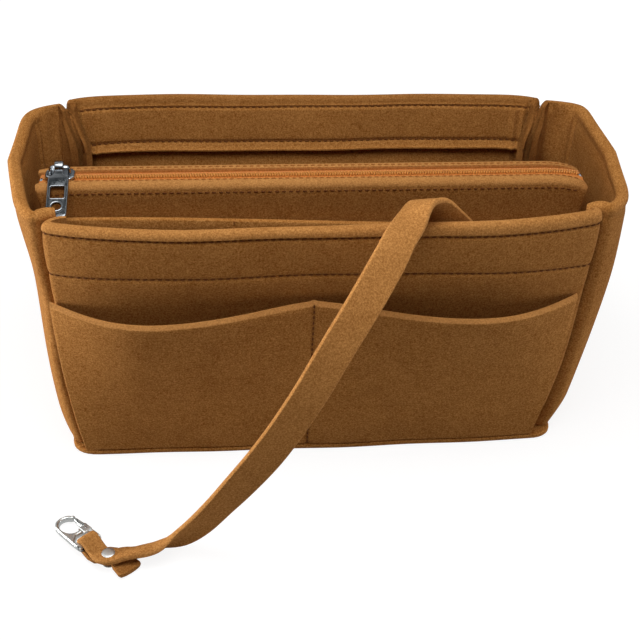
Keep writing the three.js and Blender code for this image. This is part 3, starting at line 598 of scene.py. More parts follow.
def hook_and_loop(name, shade):
    """Hook and loop tape: a dense mat of tiny bristles, darker between them."""
    material, tree, where = new_material(name)
    cells = add_node(tree, "ShaderNodeTexVoronoi", {"Vector": where, "Scale": 1 / (0.9 * MM)})
    pile = cells.outputs["Distance"]
    tone = add_node(tree, "ShaderNodeValToRGB", {"Fac": pile})
    tone.color_ramp.elements[0].color = shade
    tone.color_ramp.elements[1].color = linear("#3C2612")
    return finish_material(material, tree, "ShaderNodeBsdfPrincipled", {
        "Base Color": tone.outputs[0], "Roughness": 0.95,
        "Normal": relief(tree, pile, 0.8, 0.4, invert=True)})


def nickel_plate(name, shade, haze=0.1):
    """Nickel-plated zinc casting: a cool mirror with slight waves and a faint polishing haze."""
    material, tree, where = new_material(name)
    ripple = noise(tree, where, 3, 2.0)
    return finish_material(material, tree, "ShaderNodeBsdfPrincipled", {
        "Base Color": shade, "Metallic": 1.0, "Roughness": spread(tree, ripple, haze, haze + 0.16),
        "Normal": relief(tree, ripple, 0.12, 0.3)})


def satin_nickel(name, shade):
    """Tumbled nickel plate: pale and satin, so that highlights spread over the whole casting."""
    return nickel_plate(name, shade, haze=0.34)


FELT_SHADES = ("felt", "felt_shade", "cut_edge", "seam")
Finish = namedtuple("Finish", "slot maker shades")
FINISHES = {
    "pressed_felt": Finish("felt", pressed_felt, FELT_SHADES),
    "camel_strap": Finish("strap_felt", pressed_felt, FELT_SHADES),
    "spun_thread": Finish("felt", sewing_thread, ("thread",)),
    "camel_thread": Finish("felt", sewing_thread, ("pouch_thread",)),
    "woven_tape": Finish("zip_tape", woven_tape, ("tape",)),
    "nylon_coil": Finish("zip_coil", nylon_coil, ("coil",)),
    "bristle_tape": Finish("hook_and_loop", hook_and_loop, ("patch",)),
    "nickel_plate": Finish("nickel", nickel_plate, ("nickel",)),
    "satin_nickel": Finish("nickel", satin_nickel, ("satin",)),
    "smoked_nickel": Finish("nickel", nickel_plate, ("smoked",)),
}


def finish(name):
    """The material of that name, made on first use from the scene's colours."""
    _, maker, shades = FINISHES[name]
    paint = bpy.context.scene.organizer_colours
    return bpy.data.materials.get(name) or maker(name, *(getattr(paint, shade) for shade in shades))


def add_piece(name, mesh, material, body, *nodes):
    """Puts a mesh in the scene as a piece that rides on a body and stands for its CAD nodes."""
    mesh.materials.clear()
    mesh.materials.append(finish(material))
    mesh.polygons.foreach_set("use_smooth", [True] * len(mesh.polygons))
    mesh.set_sharp_from_angle(angle=SHARP_ANGLE)
    piece = bpy.data.objects.new(name, mesh)
    bpy.context.collection.objects.link(piece)
    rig.ride(piece, body)
    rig.slot(piece, FINISHES[material].slot)
    if nodes:
        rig.replaces(piece, *nodes)
    return piece


def mesh_of(parts):
    """One mesh in metres from (points, faces) parts in millimetres, its faces turned outwards."""
    shape = bmesh.new()
    for points, faces in parts:
        corners = [shape.verts.new(Vector(point) * MM) for point in points]
        for face in faces:
            shape.faces.new([corners[k] for k in face])
    bmesh.ops.recalc_face_normals(shape, faces=shape.faces)
    mesh = bpy.data.meshes.new("piece")
    shape.to_mesh(mesh)
    shape.free()
    return mesh


def loft(rings, joined=False):
    """Points and faces of a skin over closed rings, capped at its ends or, if joined, closed on itself."""
    count = len(rings[0])
    points = [point for ring in rings for point in ring]
    faces = []
    last = len(rings) if joined else len(rings) - 1
    for i in range(last):
        here, there = i * count, (i + 1) % len(rings) * count
        for k in range(count):
            after = (k + 1) % count
            faces.append((here + k, here + after, there + after, there + k))
    if not joined:
        faces.append(tuple(reversed(range(count))))
        faces.append(tuple(range(len(points) - count, len(points))))
    return points, faces


def mark_painted_tones(mesh, painted_tones):
    """Marks painted light above 0, which the felt shows paler on cut edges and lit faces, and painted shade below 0,
    which it shows darker in seams, folds and faces turned from the light.
    """
    layer = mesh.attributes.new("cut", "FLOAT", "POINT")
    layer.data.foreach_set("value", painted_tones)
    return mesh


def bezier(start, corner, end, t):
    return (1 - t) ** 2 * start + 2 * t * (1 - t) * corner + t * t * end


# Walls of the tub

Fin = namedtuple("Fin", "length turn fall rim radius pleat")
Hem = namedtuple("Hem", "lift rims sag roll shade")
Wall = namedtuple("Wall", "span stand base bow powers skews sag crest tuck hem fins place")


class Tub:
    """Sizes of the tub in millimetres, and where its walls lie."""

    def __init__(self, sizes):
        self.height = sizes.height / MM
        self.felt = sizes.felt / MM
        self.ends = (sizes.base_length / MM / 2, sizes.rim_length / MM / 2)
        self.sides = (sizes.base_depth / MM / 2, sizes.rim_depth / MM / 2)

    def half_length(self, z):
        rise = z / self.height
        return lerp(*self.ends, rise) + LINE_SWELL * math.sin(math.pi * rise)

    def half_depth(self, z):
        return lerp(*self.sides, z / self.height)

    def deep(self, y, z):
        """The back corners lie a little further out than the front ones."""
        return y * (1 + BACK_SHIFT * z / self.height / self.half_depth(z)) if y > 0 else y

    def walls(self):
        """The four walls; the back one and the right one change a few values of the front and the left.
        A wall has its half span and how far out its ends stand, both by height; its bow at the base and the
        rim; for each end a power and a skew; a sag with its crest; and how far it tucks in over the base.
        A hem has the facing's lift, the rim's rise at each end, the ends' sag, half the roll's thickness and
        the rim's painted shade, which below 0 is painted light. A fin has a length, the angle that it turns to,
        its top's fall, its share at the rim, the corner's radius and the depth of its pleats."""
        tight = Fin(length=9.0, turn=18, fall=1.0, rim=1.0, radius=4.2, pleat=0.0)
        loose = Fin(length=13.0, turn=38, fall=2.5, rim=0.3, radius=2.6, pleat=0.9)
        side_tight = tight._replace(length=7.0, turn=75)
        side_loose = loose._replace(length=12.0, turn=52)
        short = tight._replace(length=5.0, fall=2.5, rim=0.7)
        nub = side_tight._replace(length=7.6, fall=3.4)
        front = Wall(
            span=self.half_length, stand=self.half_depth, base=1.5, bow=16.0, powers=(4.2, 4.2),
            skews=((0.0, 0.0), (0.0, 0.0)), sag=0.0, crest=1.0, tuck=1.0,
            # The front rim is painted lighter: its shade below 0 is painted light
            hem=Hem(lift=0.0, rims=(-0.1, 1.9), sag=3.2, roll=3.4, shade=-0.15),
            fins=(tight, short), place=lambda a, o, z: (a, -o, z))
        left = Wall(
            span=self.half_depth, stand=self.half_length, base=0.5, bow=19.6, powers=(10.0, 8.0),
            skews=((0.0, 0.0), (1.0, 0.55)), sag=8.5, crest=0.3, tuck=1.0, hem=None,
            fins=(side_loose, side_tight), place=lambda a, o, z: (-o, self.deep(-a, z), z))
        back = front._replace(
            # The back rim gets painted shade
            bow=8.0, powers=(12.0, 12.0), hem=Hem(lift=1.8, rims=(0.2, 1.0), sag=0.0, roll=2.2, shade=0.34),
            fins=(loose, loose), place=lambda a, o, z: (-a, self.deep(o, z), z))
        right = left._replace(
            base=3.0, bow=21.8, powers=(8.0, 15.0), skews=((0.22, 0.4), (0.0, -0.03)), sag=6.4, tuck=3.4,
            fins=(nub, side_loose), place=lambda a, o, z: (o, self.deep(a, z), z))
        return {"front_panel": front, "back_panel": back, "left_side_panel": left, "right_side_panel": right}


def wave(a, z):
    """Slow waves of the soft felt, outwards, in millimetres."""
    broad = math.sin(a / 21 + 1.3) * math.sin(z / 27 + 0.4)
    return BROAD_WAVE * broad + FINE_WAVE * math.sin(a / 10.5 + z / 19)


def wall_out(tub, wall, a, z):
    """How far out a wall lies: it leans, bows, sags, and tucks in over the base."""
    t = a / wall.span(z)
    rise = z / tub.height
    bow = lerp(wall.base, wall.bow, rise) + wall.sag * math.sin(math.pi * rise ** wall.crest)
    skew = lerp(*wall.skews[t > 0], smooth(0.6, 1, rise)) * min(1, 1.6 * rise)
    swell = bow * (1 - abs(t) ** wall.powers[t > 0]) * (1 - skew * abs(t))
    return wall.stand(z) + swell - wall.tuck * (1 - smooth(0, TUCK_HEIGHT, z)) + wave(a, z)


def wall_end(tub, wall, z, end):
    """Stations from a wall's middle to the end of one fin: point, outward normal, shares of seam and fin.
    The wall runs into an arc that touches it and the diagonal through the corner, and then into the fin."""
    corner = Vector((wall.span(z), wall.stand(z)))
    side = Vector((-math.sqrt(0.5), math.sqrt(0.5)))
    fin = wall.fins[end > 0]

    def at(a):
        ahead, behind = (wall_out(tub, wall, end * (a + d), z) for d in (SLOPE_STEP, -SLOPE_STEP))
        normal = Vector(((behind - ahead) / (2 * SLOPE_STEP), 1)).normalized()
        return Vector((a, wall_out(tub, wall, end * a, z))), normal

    low, high = 0.0, corner.x
    for _ in range(SEARCH_STEPS):
        touch = (low + high) / 2
        point, normal = at(touch)
        if (point - normal * fin.radius - corner).dot(side) > fin.radius + SEAT / 2:
            low = touch
        else:
            high = touch
    count = round(wall.span(tub.height) / WALL_STEP)
    line = []
    for k in range(1, count + 1):
        a = touch * math.sin(math.pi / 2 * k / count)
        point, normal = at(a)
        line.append((point, normal, smooth(touch - SEAM_BLEND, touch, a), 0.0))
    centre = point - normal * fin.radius
    start = math.atan2(normal.y, normal.x)
    for angle in steps(start, -math.pi / 4, ARC_STEPS)[1:]:
        normal = Vector((math.cos(angle), math.sin(angle)))
        line.append((centre + normal * fin.radius, normal, 1.0, 0.0))
    reach = fin.length * lerp(fin.rim, 1, smooth(tub.height, FIN_FULL_HEIGHT, z))
    reach *= lerp(FIN_LOW_SHARE, 1, smooth(*FIN_WIDENING, z))
    point = line[-1][0]
    for k in range(1, FIN_STEPS + 1):
        angle = lerp(math.pi / 4, math.radians(fin.turn), (k - 0.5) / FIN_STEPS)
        run = Vector((-math.cos(angle), -math.sin(angle)))
        normal = Vector((-run.y, run.x))
        point = point + run * reach / FIN_STEPS
        bend = fin.pleat * math.sin(FIN_PLEAT_TURN * k) * smooth(*FIN_PLEAT_TOP, z)
        line.append((point + normal * bend, normal, 1.0, k / FIN_STEPS))
    line.append((point + run * FIN_LIP, normal, 1.0, 1.0))
    return [(Vector((end * p.x, p.y)), Vector((end * n.x, n.y)), *rest) for p, n, *rest in line]


def wall_line(tub, wall, z):
    """Stations from fin end to fin end at one height."""
    middle = (Vector((0, wall_out(tub, wall, 0, z))), Vector((0, 1)), 0.0, 0.0)
    return wall_end(tub, wall, z, -1)[::-1] + [middle] + wall_end(tub, wall, z, 1)


def hem_shift(wall, t, z):
    """How far a hemmed wall's rim and sewn lines lie above their usual height."""
    rim = lerp(*wall.hem.rims, smooth(-0.2, 0.6, t)) * smooth(*RIM_RISE, z)
    facing = wall.hem.lift * smooth(*FACING_LIFT, z)
    growth = 0.4 * smooth(*SAG_GROWTH, z) * (1 + smooth(0.5, 1, t))
    sag = wall.hem.sag * (1 + growth) * min(1.0, t * t)
    return (rim + facing - sag) * smooth(*HEM_START, z)


def wall_spot(tub, wall, station, z, depth):
    """A point of a wall at a depth behind its outer face; seams squeeze it and the tops of the fins fall."""
    point, normal, seam, along = station
    fin = wall.fins[point.x > 0]
    height = z
    if wall.hem:
        t = point.x / wall.span(z)
        depth += RECESS * smooth(*RECESS_TOP, z) * smooth(*RECESS_FOOT, z) * max(0.0, 1 - t * t)
        height += hem_shift(wall, t, z)
    limit = SEAM_DEPTH if z > FACING_EDGE - 1 else tub.felt
    squeezed = lerp(depth, min(depth, limit), seam)
    if depth > tub.felt / 2 and along == 0:
        near = smooth(*PLEAT_BAND, abs(point.x) - wall.span(z))
        near *= smooth(*PLEAT_FOOT, z) * smooth(*PLEAT_TOP, z)
        squeezed += fin.pleat * near * (0.6 + math.sin(PLEAT_TURN * abs(point.x)))
    moved = point - normal * squeezed
    height -= fin.fall * along ** 2 * smooth(FACING_EDGE - FIN_FALL_START, tub.height, z)
    return wall.place(moved.x, moved.y, height)


def seam_dip(z):
    """How far the thread pulls the felt in at the two sewn lines of the rim."""
    dips = ((RIM_SEAM, *RIM_DIP), (FACING_SEAM, *FACING_DIP))
    return sum(depth * math.exp(-((z - seam) / width) ** 2) for seam, depth, width in dips)


def sewn(station):
    """Whether a seam along the wall still shows at a station near its ends."""
    _, normal, _, along = station
    return along == 0 and normal.y > 0 and abs(normal.x) < 0.85


def wall_painted_shade(wall, station, z):
    """Painted shade of a wall's felt: some below the rim, more in its seams and in the folds at the back corners; at
    the front rim it falls below 0 and is painted light.
    """
    shades = [lerp(WALL_PAINTED_SHADE, wall.hem.shade if wall.hem else 0.0, smooth(*RIM_SHADE, z))]
    if station[3] > 0 and wall.fins[station[0].x > 0].pleat > 0:
        shades.append(FOLD_PAINTED_SHADE)
    if wall.hem and sewn(station):
        off = min(abs(z - RIM_SEAM), abs(z - FACING_SEAM))
        shades += [shade for reach, shade in SEAM_PAINTED_SHADES if off < reach]
    return max(shades)


def outer_depth(z):
    """Depth of a hemmed wall's outer face, which puffs between the seams."""
    puff = 0.0
    if FACING_SEAM < z < RIM_SEAM:
        puff = HEM_PUFF * math.sin(math.pi * (z - FACING_SEAM) / (RIM_SEAM - FACING_SEAM)) ** 0.7
    return seam_dip(z) - puff


def roll_arc(tub, half):
    """The rolled rim, as heights and depths from the outer face over to the inner one."""
    top = tub.height - ROLL_CENTRE
    return [(ROLL_CENTRE + top * math.sin(angle), tub.felt - half * math.cos(angle))
            for angle in steps(0, math.pi, ROLL_STEPS)]


def hemmed_profile(tub, roll):
    """Closed section of a long wall, as heights and depths: a roll at the rim and a facing sewn inside."""
    felt = tub.felt
    heights = steps(FLOOR + EDGE_ROUND, FACING_EDGE, 26)
    fine = [FACING_SEAM + d for d in (-3, -2, -1.4, -0.9, -0.45, 0, 0.45, 0.9, 1.4, 2, 3)]
    fine += steps(FACING_SEAM + 4.5, RIM_SEAM - 4.5, 8)
    fine += [RIM_SEAM + d for d in (-3, -2, -1.3, -0.8, -0.4, 0, 0.4, 0.8)]
    section = [(FLOOR, EDGE_ROUND)] + [(z, outer_depth(z)) for z in heights + fine] + roll_arc(tub, roll)
    for z in reversed(fine):
        flare = FACING_FLARE * smooth(FACING_SEAM, FACING_EDGE, z)
        section.append((z, 2 * felt - seam_dip(z) + flare))
    lip = 2 * felt + FACING_LIP
    section += [(FACING_EDGE + rise, depth) for rise, depth in (
        (1.2, lip + 0.2), (0.4, lip), (0, lip - 0.8), (0, lip - 2.0), (0.5, lip - 2.7), (2.4, felt + 0.9),
        (2.4, felt + 0.5))]
    section += [(z, felt + outer_depth(z)) for z in reversed(heights)]
    section.append((FLOOR, felt - EDGE_ROUND))
    return section


def plain_profile(tub):
    """Closed section of an end wall, as heights and depths: its rim is turned in and shows no seam."""
    neck_height, neck_width, neck_depth = SIDE_NECK
    foot, top, swell = SIDE_FACING
    heights = steps(FLOOR + EDGE_ROUND, 132, 34) + [134, 135.5, 136.7, 137.6, 138.4]
    neck = {z: neck_depth * math.exp(-((z - neck_height) / neck_width) ** 2) for z in heights}
    section = [(FLOOR, EDGE_ROUND)] + [(z, neck[z]) for z in heights] + roll_arc(tub, SIDE_ROLL_HALF)
    section += [(z, tub.felt + swell * smooth(foot, top, z) - neck[z]) for z in reversed(heights)]
    section.append((FLOOR, tub.felt - EDGE_ROUND))
    return section


def make_wall(tub, name):
    wall = tub.walls()[name]
    section = hemmed_profile(tub, wall.hem.roll) if wall.hem else plain_profile(tub)
    lines = {z: wall_line(tub, wall, z) for z, _ in section}
    count = len(lines[FLOOR])
    rings, painted_tones = [], []
    for i in range(count):
        ring = []
        for z, depth in section:
            limit = SEAM_DEPTH if z > FACING_EDGE - 0.1 else tub.felt
            if lines[z][i][3] > 0 and tub.felt < depth < limit:
                depth = limit
            if i in (0, count - 1):
                depth = lerp(min(depth, limit), limit / 2, 0.4)
            ring.append(wall_spot(tub, wall, lines[z][i], z, depth))
        rings.append(ring)
        # Painted shade on the walls, in their folds and seams, and painted light on the front rim
        painted_tones += [-wall_painted_shade(wall, lines[z][i], z) for z, _ in section]
    return mark_painted_tones(mesh_of([loft(rings)]), painted_tones)


def rounded(corners, radius, count=6):
    """A closed outline with its corners rounded; radius is one value or one for each corner."""
    outline = []
    for k, corner in enumerate(corners):
        r = radius[k] if isinstance(radius, (list, tuple)) else radius
        here = Vector(corner)
        back = Vector(corners[k - 1]) - here
        ahead = Vector(corners[(k + 1) % len(corners)]) - here
        if r <= 0:
            outline.append(tuple(here))
            continue
        cut = min(r / math.tan(back.angle(ahead) / 2), back.length * 0.49, ahead.length * 0.49)
        start, end = here + back.normalized() * cut, here + ahead.normalized() * cut
        outline += [tuple(bezier(start, here, end, t)) for t in steps(0, 1, count)]
    return outline


def rounded_box(half_x, half_y, radius):
    """A rectangle with rounded corners."""
    return rounded([(x * half_x, y * half_y) for x, y in SQUARE], radius)


def make_base(tub):
    """The base follows the feet of the walls, and reaches under the pocket sheets."""
    walls = tub.walls()
    edges = []
    for name in ("front_panel", "right_side_panel", "back_panel", "left_side_panel"):
        wall = walls[name]
        reach = wall.span(0) - BASE_CORNER
        out = SEAT + tub.felt if wall.hem else 0.0
        edges.append([Vector(wall.place(a, wall_out(tub, wall, a, FLOOR) + out, 0))
                      for a in steps(-reach, reach, 24)])
    outline = []
    for k, edge in enumerate(edges):
        start, end = edge[-1], edges[(k + 1) % 4][0]
        corner = Vector((end.x, start.y, 0)) if k % 2 == 0 else Vector((start.x, end.y, 0))
        outline += edge + [bezier(start, corner, end, t) for t in steps(0, 1, 8)[1:-1]]
    x, y = tub.half_length(0), tub.half_depth(0)
    rings = [[(p.x * (1 - inset / x), p.y * (1 - inset / y), z) for p in outline] for z, inset in BASE_EDGE]
    return mesh_of([loft(rings)])


class OBJECT_OT_organizer_tub(Operator):
    """Make the four felt walls with their rolled rim, and the base"""

    bl_idname = "object.organizer_tub"
    bl_label = "Tub"

    def execute(self, context):
        tub = Tub(context.scene.organizer_sizes)
        for name in tub.walls():
            add_piece(f"felt_{name}", make_wall(tub, name), "pressed_felt", "tub", name)
        add_piece("felt_base_panel", make_base(tub), "pressed_felt", "tub", "base_panel")
        return {"FINISHED"}


# Outer pockets

def pocket_gape(u):
    """How far the pocket stands open: nought at the sides and the middle seam."""
    return math.sin(math.pi * min(abs(u), 1) ** POCKET_SKEW)


def pocket_mouth(u):
    """Height of the pocket's top edge: high at the sides and the middle, scooped between."""
    ends = lerp(POCKET_MIDDLE, POCKET_ENDS, abs(u)) - POCKET_TILT * u * abs(u)
    return ends - POCKET_SCOOP * pocket_gape(u)


def pocket_point(tub, wall, u, z, depth):
    """A point of the pocket sheet; depth runs from its outer face to its inner face."""
    a = u * (wall.span(z) - POCKET_INSET) + POCKET_SHIFT + POCKET_SEAM_SHIFT * (1 - min(u * u, 1))
    share = max(0.0, (z - FLOOR) / (pocket_mouth(u) - FLOOR))
    belly = POCKET_BELLY * pocket_gape(u) * min(share, 1.02) ** 1.6
    pinch = POCKET_PINCH * math.exp(-(u * POCKET_HALF / 1.5) ** 2)
    return wall.place(a, wall_out(tub, wall, a, z) + SEAT + belly + tub.felt - pinch - depth, z)


def make_pocket(tub, name):
    """One sheet, with narrow columns at the middle seam and edges pressed in at the sides."""
    wall = tub.walls()[name]
    felt = tub.felt
    half = [0.004, 0.009, 0.016, 0.024] + steps(0.034, 1, 60) + [1 + 0.45 / POCKET_HALF]
    rings, painted_tones = [], []
    for u in [-u for u in reversed(half)] + [0.0] + half:
        mouth = pocket_mouth(u)
        outermost = abs(u) > 1
        pinched = POCKET_PINCH if outermost else 0.0
        rows = steps(FLOOR + EDGE_ROUND, mouth - 0.8, 30)
        section = [(FLOOR, 0.7)] + [(z, pinched) for z in rows]
        section += [(mouth - 0.35, 0.15), (mouth + 0.1, 0.6)]
        section += [(mouth + 1.2, felt - 0.6), (mouth + 1.1, felt - 0.1)]
        section += [(z, felt - pinched) for z in reversed(rows)] + [(FLOOR, felt - 0.7)]
        rings.append([pocket_point(tub, wall, u, z, depth) for z, depth in section])
        # Painted tones: a painted highlight on the mouth and the side edges, painted shade along the middle seam
        seam = 0.0 if abs(u) > half[0] else POCKET_SEAM_PAINTED_SHADES[u != 0]
        painted_tones += [POCKET_EDGE_HIGHLIGHT if outermost or z > mouth - 0.5 else -seam for z, _ in section]
    return mark_painted_tones(mesh_of([loft(rings)]), painted_tones)


class OBJECT_OT_organizer_pockets(Operator):
    """Make the outer pockets, sewn down at the sides, the base and the middle"""

    bl_idname = "object.organizer_pockets"
    bl_label = "Outer pockets"

    def execute(self, context):
        tub = Tub(context.scene.organizer_sizes)
        for side in ("front", "back"):
            mesh = make_pocket(tub, f"{side}_panel")
            add_piece(f"felt_{side}_outer_pocket", mesh, "pressed_felt", "tub", f"{side}_outer_pocket")
        return {"FINISHED"}


# Zip pouch

class Pouch:
    """Sizes of the pouch in millimetres; inside is half the width of what lies between its faces."""

    def __init__(self, sizes):
        self.half = sizes.pouch_depth / MM / 2
        self.top = sizes.pouch_top / MM
        self.felt = sizes.felt / MM
        self.inside = self.half - self.felt - SEAT


def pouch_end(z):
    """Half the pouch's length at a height."""
    return POUCH_END + POUCH_LEAN * z


def droop(x, z):
    """How far the pouch's top falls away at its ends, most at the right."""
    t = min(max((abs(x) - DROOP_START) / (pouch_end(POUCH_RIM) - DROOP_START), 0.0), 1.0)
    return DROOP[x > 0] * (1 - math.sqrt(1 - 0.97 * t * t)) * smooth(*DROOP_ZONE, z)


def slip_fall(x, z):
    """How far the slip pocket's mouth falls towards the right."""
    return SLIP_FALL * smooth(*SLIP_FALL_RUN, x) * smooth(SLIP_FALL_FOOT, SLIP_TOP, z)


def slip_lean(z):
    """How far the slip pocket stands off the pouch."""
    return SLIP_LEAN * (z / SLIP_TOP) ** 2


def pouch_rings(section, inset=0.0, fall=lambda x, z: 0.0):
    """Rings of a pouch piece along its length; section holds (y, z) points, drawn together at the ends."""
    tips = [0.996, 0.9985, 1]
    middle_y = sum(y for y, _ in section) / len(section)
    rings = []
    for share in [-tip for tip in reversed(tips)] + steps(-0.99, 0.99, POUCH_STEPS) + tips:
        ring = []
        pinch = 0.35 if abs(share) == 1 else 0.1 if abs(share) > 0.998 else 0.0
        for y, z in section:
            x = share * (pouch_end(z) - inset)
            depth = lerp(y, middle_y, pinch) if abs(y - middle_y) < 3 else y
            sway = POUCH_SWAY * math.sin(x / 26 + 0.7) * math.sin(z / 40) * smooth(0, 40, POUCH_RIM - z)
            ring.append((x, depth + sway, z - droop(x, z) - fall(x, z)))
        rings.append(ring)
    return rings


def make_pouch_panel(pouch, side):
    """One face of the pouch: up, round the bend and in to the zip."""
    half, top, felt = pouch.half, pouch.top, pouch.felt
    rows = steps(POUCH_FLOOR + EDGE_ROUND, top - POUCH_BEND, 24)
    outer, inner = [(-half, z) for z in rows], [(-half + felt, z) for z in rows]
    for angle in steps(math.pi, math.pi / 2, 8)[1:]:
        for line, radius in ((outer, POUCH_BEND), (inner, POUCH_BEND - felt)):
            spot = Vector((math.cos(angle), math.sin(angle))) * radius
            line.append((-half + POUCH_BEND + spot.x, top - POUCH_BEND + spot.y))
    edge = [(-POUCH_SLOT - back, top - drop) for back, drop in (
        (0.7, 0), (0.15, 0.25), (0, 0.8), (0, 2.2), (0.15, 2.75), (0.7, felt))]
    section = [(-half + POUCH_ROUND, POUCH_FLOOR)] + outer + edge + inner[::-1]
    section.append((-half + felt - POUCH_ROUND, POUCH_FLOOR))
    section = [(y * -side, z) for y, z in section]
    rings = pouch_rings(section)
    # Painted shade on the faces, and a painted highlight on the lips
    painted_tones = [lerp(POUCH_PAINTED_SHADE, LIP_PAINTED_HIGHLIGHT, smooth(top - 5, top - 2, z)) for _, z in section]
    return mark_painted_tones(mesh_of([loft(rings)]), painted_tones * len(rings))


def make_slip_pocket(pouch):
    face, felt = -pouch.half - SEAT, pouch.felt
    rows = steps(POUCH_FLOOR + EDGE_ROUND, SLIP_TOP - 0.8, 22)
    lip = face - slip_lean(SLIP_TOP)
    section = [(face - POUCH_ROUND, POUCH_FLOOR)] + [(face - slip_lean(z), z) for z in rows]
    section += [(lip - 0.4, SLIP_TOP - 0.2), (lip - 1, SLIP_TOP)]
    section += [(lip - felt + 1, SLIP_TOP), (lip - felt + 0.4, SLIP_TOP - 0.2)]
    section += [(face - slip_lean(z) - felt, z) for z in reversed(rows)]
    section.append((face - felt + POUCH_ROUND, POUCH_FLOOR))
    return mesh_of([loft(pouch_rings(section, inset=SLIP_INSET, fall=slip_fall))])


def make_gusset(pouch):
    """Felt band between the faces: down one end, along the bottom and up the other."""
    felt, half = pouch.felt, pouch.inside
    bend, bottom = POUCH_FLOOR + GUSSET_CORNER, pouch_end(POUCH_FLOOR)
    path = [(-pouch_end(z), z) for z in steps(GUSSET_TOP, bend, 24)]
    ends = ((-pouch_end(bend), bend), (-bottom, POUCH_FLOOR), (-bottom + GUSSET_CORNER, POUCH_FLOOR))
    path += [tuple(bezier(*map(Vector, ends), t)) for t in steps(0, 1, 6)[1:]]
    path += [(x, POUCH_FLOOR) for x in steps(-bottom + GUSSET_CORNER + 2, 0, 20)]
    path += [(-x, z) for x, z in reversed(path[:-1])]
    flat = half - POUCH_ROUND
    low, high = POUCH_ROUND, felt - POUCH_ROUND
    section = [(-half, low), (-flat, 0), (flat, 0), (half, low)]
    section += [(half, high), (flat, felt), (-flat, felt), (-half, high)]
    rings = []
    for k, point in enumerate(path):
        ahead = Vector(path[min(k + 1, len(path) - 1)]) - Vector(path[max(k - 1, 0)])
        inward = Vector((-ahead.y, ahead.x)).normalized()
        spots = [(Vector(point) + inward * depth, y) for y, depth in section]
        rings.append([(spot.x, y, spot.y) for spot, y in spots])
    return mesh_of([loft(rings)])


class OBJECT_OT_organizer_pouch(Operator):
    """Make the felt faces, gusset and slip pocket of the zip pouch"""

    bl_idname = "object.organizer_pouch"
    bl_label = "Zip pouch"

    def execute(self, context):
        pouch = Pouch(context.scene.organizer_sizes)
        meshes = {"pouch_front_panel": make_pouch_panel(pouch, -1),
                  "pouch_back_panel": make_pouch_panel(pouch, 1),
                  "pouch_gusset": make_gusset(pouch),
                  "pouch_slip_pocket": make_slip_pocket(pouch)}
        for name, mesh in meshes.items():
            add_piece(f"felt_{name}", mesh, "pressed_felt", "pouch", name)
        return {"FINISHED"}


# Patches of hook and loop

def make_patch(x, z, lean, thickness):
    half_y, half_z = PATCH_HALF
    outline = rounded_box(half_y, half_z, 2.5)
    turn = Matrix.Rotation(lean, 3, "Y")
    rings = []
    for depth, inset in ((-0.5, 0.3), (-0.35, 0), (0.35, 0), (0.5, 0.3)):
        ring = []
        for y, up in outline:
            spot = turn @ Vector((depth * thickness, y * (1 - inset / half_y), up * (1 - inset / half_z)))
            ring.append((x + spot.x, spot.y, z + spot.z))
        rings.append(ring)
    return mesh_of([loft(rings)])


class OBJECT_OT_organizer_patches(Operator):
    """Make the hook and loop patches at the pouch's ends, on felt pads at the walls"""

    bl_idname = "object.organizer_patches"
    bl_label = "Hook and loop patches"

    def execute(self, context):
        tub = Tub(context.scene.organizer_sizes)
        lean = math.atan(POUCH_LEAN)
        for side, hand in ((-1, "left"), (1, "right")):
            low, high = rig.box(f"pouch_hook_patch_{hand}")
            x, z = ((low[axis] + high[axis]) / 2 / MM for axis in (0, 2))
            hooks = make_patch(x, z, side * lean, PATCH_THICK)
            add_piece(f"nap_hooks_{hand}", hooks, "bristle_tape", "pouch", f"pouch_hook_patch_{hand}")
            x, z = x + side * PATCH_GAP * math.cos(lean), z - PATCH_GAP * math.sin(lean)
            loops = make_patch(x, z, side * lean, PATCH_THICK)
            add_piece(f"nap_loops_{hand}", loops, "bristle_tape", "tub", f"wall_loop_patch_{hand}")
            wall = tub.walls()[f"{hand}_side_panel"]
            room = wall_out(tub, wall, 0, PATCH_MIDDLE) - tub.felt - abs(x) - PAD_SEAT
            pad = make_patch(x + side * (PAD_OFF + room / 2), z, side * lean, max(room, PAD_LEAST))
            add_piece(f"felt_pad_{hand}", pad, "pressed_felt", "tub")
        return {"FINISHED"}


# Geometry Nodes trees for what repeats

